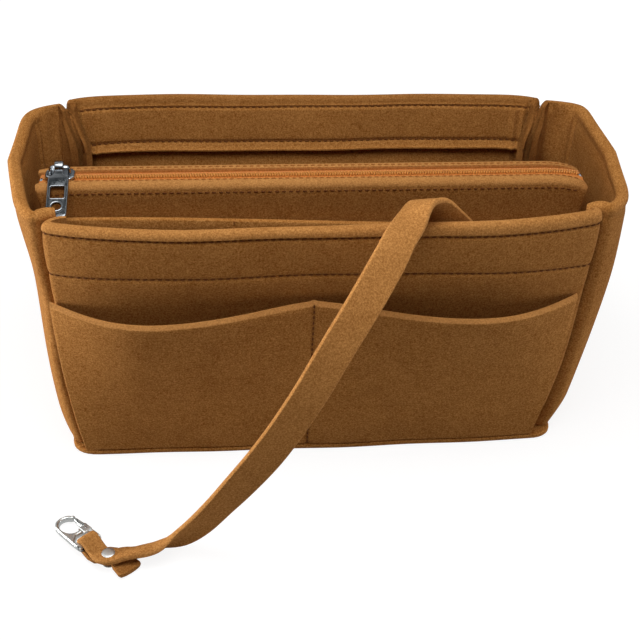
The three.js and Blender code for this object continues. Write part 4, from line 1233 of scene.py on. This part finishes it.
def repeat_tree(name, across):
    """A node tree that sets rounded grains along lines: stitches lie along the line, zip teeth across it."""
    tree = bpy.data.node_groups.new(name, "GeometryNodeTree")
    face = tree.interface
    face.new_socket(name="Lines", in_out="INPUT", socket_type="NodeSocketGeometry")
    for label in ("Pitch", "Length", "Thickness", "Height"):
        face.new_socket(name=label, in_out="INPUT", socket_type="NodeSocketFloat")
    face.new_socket(name="Finish", in_out="INPUT", socket_type="NodeSocketMaterial")
    face.new_socket(name="Grains", in_out="OUTPUT", socket_type="NodeSocketGeometry")
    given = add_node(tree, "NodeGroupInput").outputs
    curve = add_node(tree, "GeometryNodeMeshToCurve", {"Mesh": given["Lines"]})
    spots = add_node(tree, "GeometryNodeCurveToPoints", {
        "Curve": curve.outputs[0], "Length": given["Pitch"]}, mode="LENGTH")
    grain = add_node(tree, "GeometryNodeMeshUVSphere", {"Segments": 8, "Rings": 6, "Radius": 0.5})
    axes = ("Height", "Length", "Thickness") if across else ("Height", "Thickness", "Length")
    size = add_node(tree, "ShaderNodeCombineXYZ", dict(zip("XYZ", (given[axis] for axis in axes))))
    sized = add_node(tree, "GeometryNodeTransform", {
        "Geometry": grain.outputs["Mesh"], "Scale": size.outputs[0]})
    row = add_node(tree, "GeometryNodeInstanceOnPoints", {
        "Points": spots.outputs["Points"], "Instance": sized.outputs[0],
        "Rotation": spots.outputs["Rotation"]})
    real = add_node(tree, "GeometryNodeRealizeInstances", {"Geometry": row.outputs[0]})
    painted = add_node(tree, "GeometryNodeSetMaterial", {
        "Geometry": real.outputs[0], "Material": given["Finish"]})
    add_node(tree, "NodeGroupOutput", {"Grains": painted.outputs[0]})
    return tree


def repeat_along(tree, lines, values, material):
    """A plain mesh of the tree's grains along polylines given in millimetres."""
    points, edges = [], []
    for line in lines:
        edges += [(len(points) + k, len(points) + k + 1) for k in range(len(line) - 1)]
        points += [Vector(point) * MM for point in line]
    source = bpy.data.meshes.new("lines")
    source.from_pydata(points, edges, [])
    carrier = bpy.data.objects.new("lines", source)
    bpy.context.collection.objects.link(carrier)
    modifier = carrier.modifiers.new("Grains", "NODES")
    modifier.node_group = tree
    sockets = {item.name: item.identifier for item in tree.interface.items_tree if item.in_out == "INPUT"}
    for label, value in {**values, "Finish": finish(material)}.items():
        modifier[sockets[label]] = value
    graph = bpy.context.evaluated_depsgraph_get()
    mesh = bpy.data.meshes.new_from_object(carrier.evaluated_get(graph))
    bpy.data.objects.remove(carrier)
    bpy.data.meshes.remove(source)
    return mesh


def wall_seam(tub, name, z, inside):
    """A sewn line along a long wall at one height, on its outer or inner face."""
    wall = tub.walls()[name]
    depth = 2 * tub.felt - seam_dip(z) + THREAD_PROUD if inside else outer_depth(z) - THREAD_PROUD
    return [wall_spot(tub, wall, station, z, depth) for station in wall_line(tub, wall, z) if sewn(station)]


def tub_seams(tub):
    """Sewn lines of the two long walls and of their pockets' middles."""
    lines = []
    for name in ("front_panel", "back_panel"):
        for z in (RIM_SEAM, FACING_SEAM):
            lines += [wall_seam(tub, name, z, inside) for inside in (False, True)]
        wall = tub.walls()[name]
        heights = steps(FLOOR + 2, pocket_mouth(0) - 1, 60)
        lines.append([pocket_point(tub, wall, 0, z, POCKET_SEAM_DEPTH) for z in heights])
    return lines


def pouch_face_seams(pouch):
    """Sewn lines below the bends of the pouch's two faces."""
    drop, reach = FACE_SEAM
    z = pouch.top - POUCH_BEND - drop
    out = pouch.half - THREAD_OFF
    return [[(x, side * out, z - droop(x, z)) for x in steps(-reach, reach, 120)] for side in (-1, 1)]


def pouch_seams(pouch):
    """Sewn lines along the zip's lips and down the slip pocket."""
    top = pouch.top + THREAD_OFF
    back, reach = LIP_SEAM
    lines = [[(x, side * (POUCH_SLOT + back), top - droop(x, top)) for x in steps(-reach, reach, 120)]
             for side in (-1, 1)]
    face = -pouch.half - SEAT - pouch.felt - THREAD_OFF
    for x in (-SLIP_SEAM, SLIP_SEAM):
        lines.append([(x, face - slip_lean(z), z - slip_fall(x, z)) for z in steps(6, SLIP_TOP - 1, 40)])
    return lines


class OBJECT_OT_organizer_stitches(Operator):
    """Sew the seams: rows of stitches along the rim, the pockets and the pouch"""

    bl_idname = "object.organizer_stitches"
    bl_label = "Stitches"

    def execute(self, context):
        sizes = context.scene.organizer_sizes
        tree = repeat_tree("Stitch Row", across=False)
        values = {"Pitch": sizes.stitch_pitch, "Length": sizes.stitch_length,
                  "Thickness": sizes.thread, "Height": sizes.thread}
        pouch = Pouch(sizes)
        rows = (("thread_tub", tub_seams(Tub(sizes)), "spun_thread", "tub"),
                ("thread_pouch", pouch_seams(pouch), "camel_thread", "pouch"),
                ("thread_pouch_faces", pouch_face_seams(pouch), "spun_thread", "pouch"))
        for name, lines, material, body in rows:
            add_piece(name, repeat_along(tree, lines, values, material), material, body)
        return {"FINISHED"}


# Zip

def make_tape(pouch, side):
    """One tape, with a thicker edge that carries the coil."""
    edge = pouch.inside
    low, high = TAPE_TOP - TAPE_THICK, TAPE_TOP + TAPE_BEAD
    section = [(0.5, low), (edge, low), (edge, TAPE_TOP), (3.4, TAPE_TOP), (2.9, high), (0.5, high)]
    section = [(side * y, z) for y, z in section]
    rings = pouch_rings(section, inset=TAPE_INSET, fall=lambda x, z: (TAPE_DROOP - 1) * droop(x, z))
    return mesh_of([loft(rings)])


def coil_line(sizes, side):
    """The middle of one row of turns; the back row lies half a turn further on."""
    start = -COIL_END + (0 if side < 0 else sizes.tooth_pitch / MM / 2)
    return [(x, side * COIL_OFF, TAPE_TOP + COIL_RISE - TAPE_DROOP * droop(x, TAPE_TOP))
            for x in steps(start, start + 2 * COIL_END, 160)]


def make_stop(x):
    z = TAPE_TOP - TAPE_DROOP * droop(x, TAPE_TOP)
    outline = rounded_box(*STOP_HALF, 0.6)
    return mesh_of([loft([[(x + px * k, py * k, z + rise) for px, py in outline] for rise, k in STOP_RINGS])])


class OBJECT_OT_organizer_zip(Operator):
    """Make the zip's tapes, the coil's turns and the end stops"""

    bl_idname = "object.organizer_zip"
    bl_label = "Zip"

    def execute(self, context):
        sizes = context.scene.organizer_sizes
        tree = repeat_tree("Coil Row", across=True)
        long, thick, tall = (size * MM for size in TOOTH)
        values = {"Pitch": sizes.tooth_pitch, "Length": long, "Thickness": thick, "Height": tall}
        for side, name in ((-1, "front"), (1, "back")):
            tape = make_tape(Pouch(sizes), side)
            add_piece(f"tape_{name}", tape, "woven_tape", "pouch", f"zip_tape_{name}")
            teeth = repeat_along(tree, [coil_line(sizes, side)], values, "nylon_coil")
            add_piece(f"coil_{name}", teeth, "nylon_coil", "pouch", f"zip_coil_{name}")
        for x, hand in ((-STOP_SPOT, "left"), (STOP_SPOT, "right")):
            add_piece(f"stop_{hand}", make_stop(x), "nickel_plate", "pouch", f"zip_stop_{hand}")
        return {"FINISHED"}


# Metal fittings

def plate(outline, holes, thickness, bevel, matrix):
    """Points and faces of a flat casting with rounded edges, put in place by a matrix, in millimetres."""
    curve = bpy.data.curves.new("plate", "CURVE")
    curve.dimensions = "2D"
    curve.fill_mode = "BOTH"
    curve.extrude = thickness / 2 - bevel
    curve.bevel_depth = bevel
    curve.bevel_resolution = 3
    curve.offset = -bevel
    for line in [outline, *holes]:
        spline = curve.splines.new("POLY")
        spline.points.add(len(line) - 1)
        for point, (x, y) in zip(spline.points, line):
            point.co = (x, y, 0, 1)
        spline.use_cyclic_u = True
    carrier = bpy.data.objects.new("plate", curve)
    bpy.context.collection.objects.link(carrier)
    graph = bpy.context.evaluated_depsgraph_get()
    mesh = bpy.data.meshes.new_from_object(carrier.evaluated_get(graph))
    bpy.data.objects.remove(carrier)
    bpy.data.curves.remove(curve)
    shape = bmesh.new()
    shape.from_mesh(mesh)
    bmesh.ops.remove_doubles(shape, verts=shape.verts, dist=1e-3)
    shape.verts.index_update()
    points = [tuple(matrix @ vert.co) for vert in shape.verts]
    faces = [tuple(vert.index for vert in face.verts) for face in shape.faces]
    shape.free()
    bpy.data.meshes.remove(mesh)
    return points, faces


def circle(x, y, radius, count=28):
    return [(x + radius * math.cos(t), y + radius * math.sin(t)) for t in steps(0, 2 * math.pi, count)[:-1]]


def wire(path, radius, matrix, closed=False, sides=12):
    """Points and faces of a round wire along a path, put in place by a matrix."""
    path = [Vector(point) for point in path]
    total = len(path)
    rings = []
    side = None
    for k, point in enumerate(path):
        ahead = path[(k + 1) % total] if closed else path[min(k + 1, total - 1)]
        behind = path[k - 1] if closed else path[max(k - 1, 0)]
        run = (ahead - behind).normalized()
        side = side or run.orthogonal()
        side = (side - run * side.dot(run)).normalized()
        other = run.cross(side)
        rings.append([tuple(matrix @ (point + side * x + other * y)) for x, y in circle(0, 0, radius, sides)])
    return loft(rings, joined=closed)


def turned(profile, matrix, count=32):
    """Points and faces of a turned piece: profile holds (radius, height) from axis to axis."""
    return loft([[tuple(matrix @ Vector((x, y, height))) for x, y in circle(0, 0, radius, count)]
                 for radius, height in profile])


def slider_parts(at, lift):
    """Zip slider: a shield-shaped top plate with a rimmed nose and flanges, a bottom plate, a web, a bail."""
    here = Matrix.Translation((at, 0, lift))
    shield = rounded(
        [(-7, -3.2), (-2.4, -5.2), (5.4, -5.2), (7, -3), (7, 3), (5.4, 5.2), (-2.4, 5.2), (-7, 3.2)],
        [2.2, 2, 1.6, 1.4, 1.4, 1.6, 2, 2.2])
    upper, lower = SLIDER_PLATES
    parts = [plate(shield, [], upper, 0.5, Matrix.Translation((at, 0, lift - upper / 2)))]
    parts.append(plate(shield, [], lower, 0.4, Matrix.Translation((at, 0, SLIDER_FLOOR))))
    web = rounded_box(6, 0.3, 0.25)
    middle = (lift + SLIDER_FLOOR - 0.2) / 2
    parts.append(plate(web, [], lift - SLIDER_FLOOR - 0.2, 0.1, Matrix.Translation((at, 0, middle))))
    for side in (-1, 1):
        parts.append(wire([(x, side * FLANGE_OFF, -1.7) for x in steps(-2.4, 5.4, 8)], 0.6, here))
    nose = rounded([(-1.5, -4.9), (-6.4, -3.2), (-6.4, 3.2), (-1.5, 4.9)], [0, 2.6, 2.6, 0])
    parts.append(wire([(x, y, -0.2) for x, y in nose], 0.75, here))
    across, up = BAIL_BEND
    corner = steps(0, math.pi / 2, 6)[1:]
    bail = [(-BAIL_REACH, -0.6), (-BAIL_REACH, across)]
    bail += [(-BAIL_REACH + across * (1 - math.cos(t)), across + up * math.sin(t)) for t in corner]
    bail += [(x, BAIL_RISE) for x in steps(-2.6, 2.6, 6)[1:]]
    bail += [(BAIL_REACH - across * (1 - math.sin(t)), across + up * math.cos(t)) for t in corner]
    bail.append((BAIL_REACH, -0.6))
    parts.append(wire([(x, 0, z) for x, z in bail], 0.8, here @ Matrix.Diagonal((1, BAIL_WIDTH, 1, 1))))
    return parts


def pull_parts(at, axis_height):
    """Zip pull: an eye on the bail, a plate with a window, and a raised eyelet at its foot."""
    turn = Matrix.Translation((at, 0, axis_height)) @ Matrix.Rotation(PULL_REST, 4, "X")
    right = [(3, -33), (5, -30), (5, -7.2), (2.1, -4.8), (2.1, -1.9)]
    radii = [1.5, 2.5, 1.6, 0.6, 0.3]
    outline = rounded([(-x, y) for x, y in reversed(right)] + right, radii[::-1] + radii)
    window = rounded([(-3.2, -20), (3.2, -20), (3.2, -13), (-3.2, -13)], 1.0)
    foot, hole, ring = EYELET
    parts = [plate(outline, [window, circle(0, foot, hole)], PULL_THICK, 0.5, turn)]
    parts.append(wire([(x, y, 0.75) for x, y in circle(0, foot, ring)], 0.65, turn, closed=True))
    bead = [(x, WINDOW_MIDDLE + y, 0.7) for x, y in rounded_box(3.7, 4, 1.2)]
    parts.append(wire(bead, 0.42, turn, closed=True))
    eye = turn @ Matrix.Rotation(math.pi / 2, 4, "Y")
    parts.append(plate(circle(0, 0, 2.7), [circle(0, 0, 1.5)], 4.2, 0.4, eye))
    return parts


class OBJECT_OT_organizer_slider(Operator):
    """Make the zip slider and its pull"""

    bl_idname = "object.organizer_slider"
    bl_label = "Zip slider and pull"

    def execute(self, context):
        swing = next(j for j in frame["joints"] if j["name"] == "pull_swing")
        at, _, axis_height = (c / MM for c in swing["pos_m"])
        slider = mesh_of(slider_parts(at, axis_height - BAIL_RISE))
        add_piece("slider", slider, "nickel_plate", "slider", "zip_slider")
        # The pull takes a darker copy of the nickel, a painted shade
        add_piece("pull", mesh_of(pull_parts(at, axis_height)), "smoked_nickel", "pull", "zip_pull")
        return {"FINISHED"}


# Key strap and clasp

def strap_knots(width, thickness):
    """(centre, direction across, width) where the strap's run is given, from its anchor on: the route, the
    loop round the clasp's bar, and the tail below."""
    knots = []
    left = TAPER
    for row, after in zip(STRAP_ROUTE[::-1], (RIVET, *STRAP_ROUTE[::-1])):
        left -= (Vector(row[:2]) - Vector(after[:2])).length
        wide = lerp(width, END_WIDTH, smooth(0, TAPER, left))
        knots.insert(0, (Vector(row[:3]), Vector(row[3:]), wide))
    upper, middle = TAIL_HEIGHT + thickness + LAYER_GAP, TAIL_HEIGHT + LOOP_BEND
    loop = [(0, upper, END_WIDTH), (RIVET_FLAT, upper, LOOP_WIDTH)]
    for angle in steps(math.pi / 2, -math.pi / 2, 10):
        reach, rise = LOOP_BEND * math.cos(angle), LOOP_BEND * math.sin(angle)
        loop.append((LOOP_REACH + reach, middle + rise, LOOP_WIDTH))
    loop.append((RIVET_FLAT, TAIL_HEIGHT, LOOP_WIDTH))
    knots += [(RIVET + ALONG * q + Vector((0, 0, z)), ACROSS, wide) for q, z, wide in loop]
    tail = (TAIL_FOLD - TAIL_END).normalized()
    for share, wide in TAIL_WIDTHS:
        height = Vector((0, 0, lerp(TAIL_HEIGHT, TAIL_END_HEIGHT, share)))
        knots.append((TAIL_FOLD.lerp(TAIL_END, share) + height, Vector((-tail.y, tail.x, 0)), wide))
    return knots


def strap_stations(width, thickness):
    """(centre, direction across, width) in short steps along a smooth curve through the strap's knots."""
    knots = strap_knots(width, thickness)
    last = len(knots) - 1
    stations = []
    for k in range(last):
        near = [knots[min(max(k + d, 0), last)] for d in (-1, 0, 1, 2)]
        count = max(1, round((near[2][0] - near[1][0]).length / STRAP_STEP))
        for n in range(count):
            t = n / count
            weights = (-t + 2 * t ** 2 - t ** 3, 2 - 5 * t ** 2 + 3 * t ** 3,
                       t + 4 * t ** 2 - 3 * t ** 3, -t ** 2 + t ** 3)
            centre, across = (
                sum((w / 2 * knot[i] for w, knot in zip(weights, near)), Vector()) for i in (0, 1))
            stations.append((centre, across, lerp(near[1][2], near[2][2], t)))
    stations.append(knots[-1])
    return stations


def make_strap(width, thickness):
    """A flat felt strap with slightly rounded edges; also gives its centre line."""
    stations = strap_stations(width, thickness)
    half = thickness / 2
    rings, painted_tones = [], []
    last = len(stations) - 1
    for k, (centre, across, wide) in enumerate(stations):
        run = (stations[min(k + 1, last)][0] - stations[max(k - 1, 0)][0]).normalized()
        edge = (across - run * across.dot(run)).normalized()
        face = run.cross(edge)
        crest = smooth(20, 29, centre.x) * smooth(48, 41, centre.x)
        reach = wide / 2 * (1 - CREST_NARROWING * crest)
        thin = 0.75 if k in (0, last) else 1.0
        right = [(0, 1.03), (reach / 2, 1.02)]
        right += [(reach - back, y) for back, y in ((1.4, 1), (0.55, 0.92), (0.12, 0.55), (0, 0))]
        section = [(-x, y) for x, y in reversed(right[1:])] + right
        loop = section + [(x, -y) for x, y in reversed(section[1:-1])]
        curl = STRAP_CURL * smooth(-50, -72, centre.x) * smooth(-98, -86, centre.x)
        rings.append([tuple(centre + edge * x + face * (y * half * thin + curl * (0.4 - (x / reach) ** 2)))
                      for x, y in loop])
        # Painted tones: the strap painted paler as if lit, highlights on its edges, and its tail under the loop
        # painted with shadow
        shade = lerp(STRAP_PAINTED_LIGHT, TAIL_PAINTED_SHADOW, smooth(4.6, 3.4, centre.z))
        painted_tones += [shade + STRAP_EDGE_HIGHLIGHT * smooth(0.7, 0.3, reach - abs(x)) for x, _ in loop]
    return mark_painted_tones(mesh_of([loft(rings)]), painted_tones), [tuple(s[0] * MM) for s in stations]


def rivet_parts(thickness):
    """Rivet: a low domed cap above, a flat foot below, and a post."""
    top = TAIL_HEIGHT + 1.5 * thickness + LAYER_GAP
    low = TAIL_HEIGHT - thickness / 2 - 0.1
    here = Matrix.Translation(RIVET_SPOT)
    cap = [(radius, top + rise) for radius, rise in (
        (0, 0.42), (1.2, 0.41), (2.0, 0.36), (2.6, 0.26), (3.0, 0.1), (3.1, 0), (2.9, -0.1), (0, -0.1))]
    foot = [(radius, low - drop) for radius, drop in (
        (0, 0), (3.0, 0), (3.3, 0.2), (3.3, 0.5), (3.0, 0.75), (0, 0.75))]
    post = [(0, low), (1.4, low), (1.4, top), (0, top)]
    return [turned(cap, here), turned(foot, here), turned(post, here, 16)]


def clasp_matrix():
    """From the clasp's own axes, along, across and up from the bar, to the row frame."""
    drop = Matrix.Rotation(CLASP_DROP, 4, "Y") @ Matrix.Rotation(math.pi, 4, "X")
    return Matrix.Translation(BAR) @ Matrix.Rotation(HEADING, 4, "Z") @ drop


def frame_parts(matrix):
    """Clasp casting: legs beside the eye, a web, and a hook round an oval hole that opens at the gate."""
    wide, deep = HOLE_HALF
    hole = [(HOLE_MIDDLE + wide * math.cos(t), deep * math.sin(t)) for t in steps(*HOLE_ENDS, 30)]
    hook = rounded(
        [(-BAR_RADIUS, -CLASP_HALF), (8, -6.2), (16.2, -6.0), (20.6, -5.5), (23.6, -3.4), (24.5, 0),
         (23.6, 3.4), (20.8, 5.4), (19.9, 5.7)], [0.9, 2, 3, 3, 3, 3, 3, 1.0, 0.3], 4)
    web = rounded(
        [(10.9, 1.6), (10.9, 2.2), (6.9, 2.2), (6.9, 6.2), (-BAR_RADIUS, CLASP_HALF), (-BAR_RADIUS, 4.8),
         (5, 4.8), (8, 1.6), (8, -1.6), (5, -4.8), (-BAR_RADIUS, -4.8)],
        [0.2, 0.2, 0.3, 0.3, 0.6, 0.6, 1.5, 1, 1, 1.5, 0.6], 4)
    parts = [plate(hook + hole + web, [], CLASP_THICK, 0.9, matrix)]
    parts.append(wire([(0, v, 0) for v in steps(-5.6, 5.6, 8)], BAR_RADIUS, matrix))
    cheek = rounded([(6.2, 6.1), (6.2, 1.9), (10.8, 1.9), (10.8, 6.0)], [0.4, 0.4, 0.8, 1.6])
    for lift in (-CHEEK_OFF, CHEEK_OFF):
        parts.append(plate(cheek, [], 0.75, 0.2, matrix @ Matrix.Translation((0, 0, lift))))
    return parts


def gate_parts(matrix):
    """Sprung gate: a straight arm from the hub to the nose of the hook, with a thumb tab."""
    arm = rounded(
        [(7.4, 3.1), (8.8, 2.7), (10.6, 3.2), (19.3, 4.2), (19.3, 5.7), (13.4, 6.1), (12.3, 6.7), (9.6, 6.5),
         (7.5, 5.5)], [0.9, 0.6, 1.0, 0.6, 0.8, 0.8, 0.7, 0.9, 1.0])
    return [plate(arm, [circle(*GATE_PIVOT, GATE_HOLE, 16)], GATE_THICK, 0.45, matrix)]


class OBJECT_OT_organizer_strap(Operator):
    """Make the key strap and its rivet"""

    bl_idname = "object.organizer_strap"
    bl_label = "Key strap"

    def execute(self, context):
        sizes = context.scene.organizer_sizes
        width, thickness = sizes.strap_width / MM, sizes.strap_thickness / MM
        mesh, path = make_strap(width, thickness)
        strap = add_piece("felt_key_strap", mesh, "camel_strap", "tub", "key_strap")
        rivet = add_piece("rivet", mesh_of(rivet_parts(thickness)), "satin_nickel", "tub", "strap_rivet")
        run = sum((Vector(b) - Vector(a)).length for a, b in zip(path, path[1:]))
        clasp = [bpy.data.objects[name] for name in ("clasp_casting", "clasp_lever")]
        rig.cord(strap, exit=path[0], length=run, diameter=sizes.strap_width, far_end="fitting",
                stiffness="medium", lay="hanging", path=path, with_pieces=[rivet, *clasp])
        return {"FINISHED"}


class OBJECT_OT_organizer_clasp(Operator):
    """Make the lobster clasp: its frame, gate, pin and spring"""

    bl_idname = "object.organizer_clasp"
    bl_label = "Lobster clasp"

    def execute(self, context):
        matrix = clasp_matrix()
        add_piece("clasp_casting", mesh_of(frame_parts(matrix)), "satin_nickel", "clasp", "clasp_frame")
        add_piece("clasp_lever", mesh_of(gate_parts(matrix)), "satin_nickel", "gate", "clasp_gate")
        pivot = matrix @ Matrix.Translation((*GATE_PIVOT, 0))
        pin = turned([(0, -2), (0.5, -2), (0.7, -1.8), (0.7, 1.8), (0.5, 2), (0, 2)], pivot, 16)
        add_piece("clasp_pin", mesh_of([pin]), "nickel_plate", "clasp", "clasp_gate_pin")
        coil = [(SPRING_RADIUS * math.cos(t), SPRING_RADIUS * math.sin(t), lerp(0.1, 0.9, t / SPRING_TURN))
                for t in steps(0, SPRING_TURN, 72)]
        spring = wire(coil, SPRING_WIRE, pivot, sides=8)
        add_piece("clasp_coil", mesh_of([spring]), "nickel_plate", "clasp", "clasp_gate_spring")
        return {"FINISHED"}


# Stage

CAMERA_FOCUS = 1082
CAMERA_TURN = math.radians(-6.4)
CAMERA_RISE = math.radians(35.8)
CAMERA_ROLL = math.radians(2.3)
CAMERA_TARGET = Vector((0.011, 0.058, 0))
CAMERA_DISTANCE = 0.665
FLOOR_HALF = 4
FLOOR_DROP = 0.0003
# Floor's glow near and far, and the two distances in metres
GLOW = (0.88, 1.0, 0.2, 0.45)
MIRRORED_GLOW = (0.65, 0.05, 0.25, 0.5)
WHITE = (1, 1, 1, 1)
PAPER = (0.5, 0.5, 0.5, 1)
SHADED_PAPER = (0.2, 0.2, 0.2, 1)
FILL = (1, 0.82, 0.62, 1)
FILL_STRENGTH = 0.13
# What metal mirrors: height of the view, colour
ROOM = ((0.2, (0.06, 0.065, 0.07, 1)), (0.5, (0.16, 0.17, 0.18, 1)), (0.66, (0.95, 0.95, 0.95, 1)),
        (0.8, (0.95, 0.95, 0.95, 1)), (0.92, (0.05, 0.06, 0.065, 1)))
# Name, place, aim, size and power
LAMPS = (
    ("key_softbox", (-0.05, -0.17, 0.63), (-0.02, -0.06, 0.1), 0.5, 3.15),
    ("left_softbox", (-0.9, 0.0, 0.07), (0, 0, 0.07), 0.24, 9.0),
    ("right_softbox", (0.9, -0.1, 0.08), (0, 0, 0.07), 0.24, 3.0),
)


def add_camera(scene):
    a, e, r = CAMERA_TURN, CAMERA_RISE, CAMERA_ROLL
    back = Vector((math.sin(a) * math.cos(e), -math.cos(a) * math.cos(e), math.sin(e)))
    flat = Vector((math.cos(a), math.sin(a), 0))
    rise = back.cross(flat)
    right = flat * math.cos(r) + rise * math.sin(r)
    up = rise * math.cos(r) - flat * math.sin(r)
    lens = bpy.data.cameras.new("camera")
    lens.sensor_width = SENSOR_MM
    lens.lens = CAMERA_FOCUS / PHOTO_PIXELS * SENSOR_MM
    lens.clip_start = 0.01
    camera = bpy.data.objects.new("camera", lens)
    turn = Matrix((right, up, back)).transposed()
    camera.matrix_world = Matrix.Translation(CAMERA_TARGET + back * CAMERA_DISTANCE) @ turn.to_4x4()
    scene.collection.objects.link(camera)
    scene.camera = camera


def add_lamp(scene, name, place, aim, size, power):
    lamp = bpy.data.lights.new(name, "AREA")
    lamp.shape = "DISK"
    lamp.size = size
    lamp.energy = power
    holder = bpy.data.objects.new(name, lamp)
    turn = (Vector(aim) - Vector(place)).to_track_quat("-Z", "Y")
    holder.matrix_world = Matrix.Translation(place) @ turn.to_matrix().to_4x4()
    scene.collection.objects.link(holder)


def ray_kinds(tree):
    """1 for rays that see the backdrop itself, and 1 for those that see it in polished metal."""
    rays = add_node(tree, "ShaderNodeLightPath").outputs
    seen = add_node(tree, "ShaderNodeMath", {
        0: rays["Is Camera Ray"], 1: rays["Is Transmission Ray"]}, operation="MAXIMUM")
    return seen.outputs[0], rays["Is Glossy Ray"]


def paper_floor():
    """Matt white paper sweep: plain white to the eye, with the object's soft shadow, and greyer in metal."""
    material, tree, where = new_material("paper_sweep")
    seen, mirrored = ray_kinds(tree)
    paper = add_node(tree, "ShaderNodeBsdfDiffuse", {"Color": PAPER})
    sheet = add_node(tree, "ShaderNodeBsdfDiffuse", {"Color": SHADED_PAPER})
    off = add_node(tree, "ShaderNodeVectorMath", {0: where}, operation="LENGTH").outputs["Value"]
    glow, grey = (add_node(tree, "ShaderNodeEmission", {"Color": WHITE, "Strength": spread(tree, off, *run)})
                  for run in (GLOW, MIRRORED_GLOW))
    bright = add_node(tree, "ShaderNodeAddShader", {0: sheet.outputs[0], 1: glow.outputs[0]})
    plain = add_node(tree, "ShaderNodeMixShader", {0: seen, 1: paper.outputs[0], 2: bright.outputs[0]})
    return finish_material(material, tree, "ShaderNodeMixShader", {
        0: mirrored, 1: plain.outputs[0], 2: grey.outputs[0]})


def studio_world():
    """White to the eye, a dim fill on the object, and in metal a dark studio with a band of bright wall."""
    world = bpy.data.worlds.new("studio")
    world.use_nodes = True
    tree = world.node_tree
    tree.nodes.clear()
    seen, mirrored = ray_kinds(tree)
    way = add_node(tree, "ShaderNodeTexCoord").outputs["Generated"]
    height = add_node(tree, "ShaderNodeSeparateXYZ", {0: way}).outputs["Z"]
    room = add_node(tree, "ShaderNodeValToRGB", {"Fac": height})
    stops = room.color_ramp.elements
    stops[0].position, stops[1].position = ROOM[0][0], ROOM[-1][0]
    for position, _ in ROOM[1:-1]:
        stops.new(position)
    for stop, (_, shade) in zip(stops, ROOM):
        stop.color = shade
    dim, white, studio = (
        add_node(tree, "ShaderNodeBackground", {"Color": shade, "Strength": strength}).outputs[0]
        for shade, strength in ((FILL, FILL_STRENGTH), (WHITE, 1.0), (room.outputs[0], 1.0)))
    plain = add_node(tree, "ShaderNodeMixShader", {0: seen, 1: dim, 2: white})
    mixed = add_node(tree, "ShaderNodeMixShader", {0: mirrored, 1: plain.outputs[0], 2: studio})
    add_node(tree, "ShaderNodeOutputWorld", {"Surface": mixed.outputs[0]})
    return world


class OBJECT_OT_organizer_stage(Operator):
    """Set the camera, the studio light and the white floor"""

    bl_idname = "object.organizer_stage"
    bl_label = "Stage"

    def execute(self, context):
        scene = context.scene
        scene.view_settings.view_transform = "Standard"
        add_camera(scene)
        mesh = bpy.data.meshes.new("floor")
        points = [(x * FLOOR_HALF, y * FLOOR_HALF, -FLOOR_DROP) for x, y in SQUARE]
        mesh.from_pydata(points, [], [(0, 1, 2, 3)])
        mesh.materials.append(paper_floor())
        floor = bpy.data.objects.new("floor", mesh)
        scene.collection.objects.link(floor)
        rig.stage(floor)
        for lamp in LAMPS:
            add_lamp(scene, *lamp)
        scene.world = studio_world()
        return {"FINISHED"}


class VIEW3D_PT_organizer(Panel):
    """Sizes, colours and steps of the organizer"""

    bl_label = "Felt Purse Organizer"
    bl_space_type = "VIEW_3D"
    bl_region_type = "UI"
    bl_category = "Organizer"

    def draw(self, context):
        for group in (context.scene.organizer_sizes, context.scene.organizer_colours):
            box = self.layout.box()
            for name in group.__annotations__:
                box.prop(group, name)
        for step in STEPS:
            self.layout.operator(step.bl_idname)


STEPS = (
    OBJECT_OT_organizer_stage,
    OBJECT_OT_organizer_clasp,
    OBJECT_OT_organizer_strap,
    OBJECT_OT_organizer_tub,
    OBJECT_OT_organizer_pockets,
    OBJECT_OT_organizer_pouch,
    OBJECT_OT_organizer_patches,
    OBJECT_OT_organizer_zip,
    OBJECT_OT_organizer_slider,
    OBJECT_OT_organizer_stitches,
)
CLASSES = (OrganizerSizes, OrganizerColours, *STEPS, VIEW3D_PT_organizer)


def register():
    for item in CLASSES:
        bpy.utils.register_class(item)
    bpy.types.Scene.organizer_sizes = PointerProperty(type=OrganizerSizes)
    bpy.types.Scene.organizer_colours = PointerProperty(type=OrganizerColours)


def unregister():
    del bpy.types.Scene.organizer_colours
    del bpy.types.Scene.organizer_sizes
    for item in reversed(CLASSES):
        bpy.utils.unregister_class(item)


def main():
    register()
    for step in STEPS:
        group, name = step.bl_idname.split(".")
        getattr(getattr(bpy.ops, group), name)()
    boxes = {"cad": CAD_BOX, "visual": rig.bounds()}
    with open(SIZE_FILE, "w") as out:
        json.dump({key: [list(map(float, corner)) for corner in box] for key, box in boxes.items()}, out)


if __name__ == "__main__":
    main()
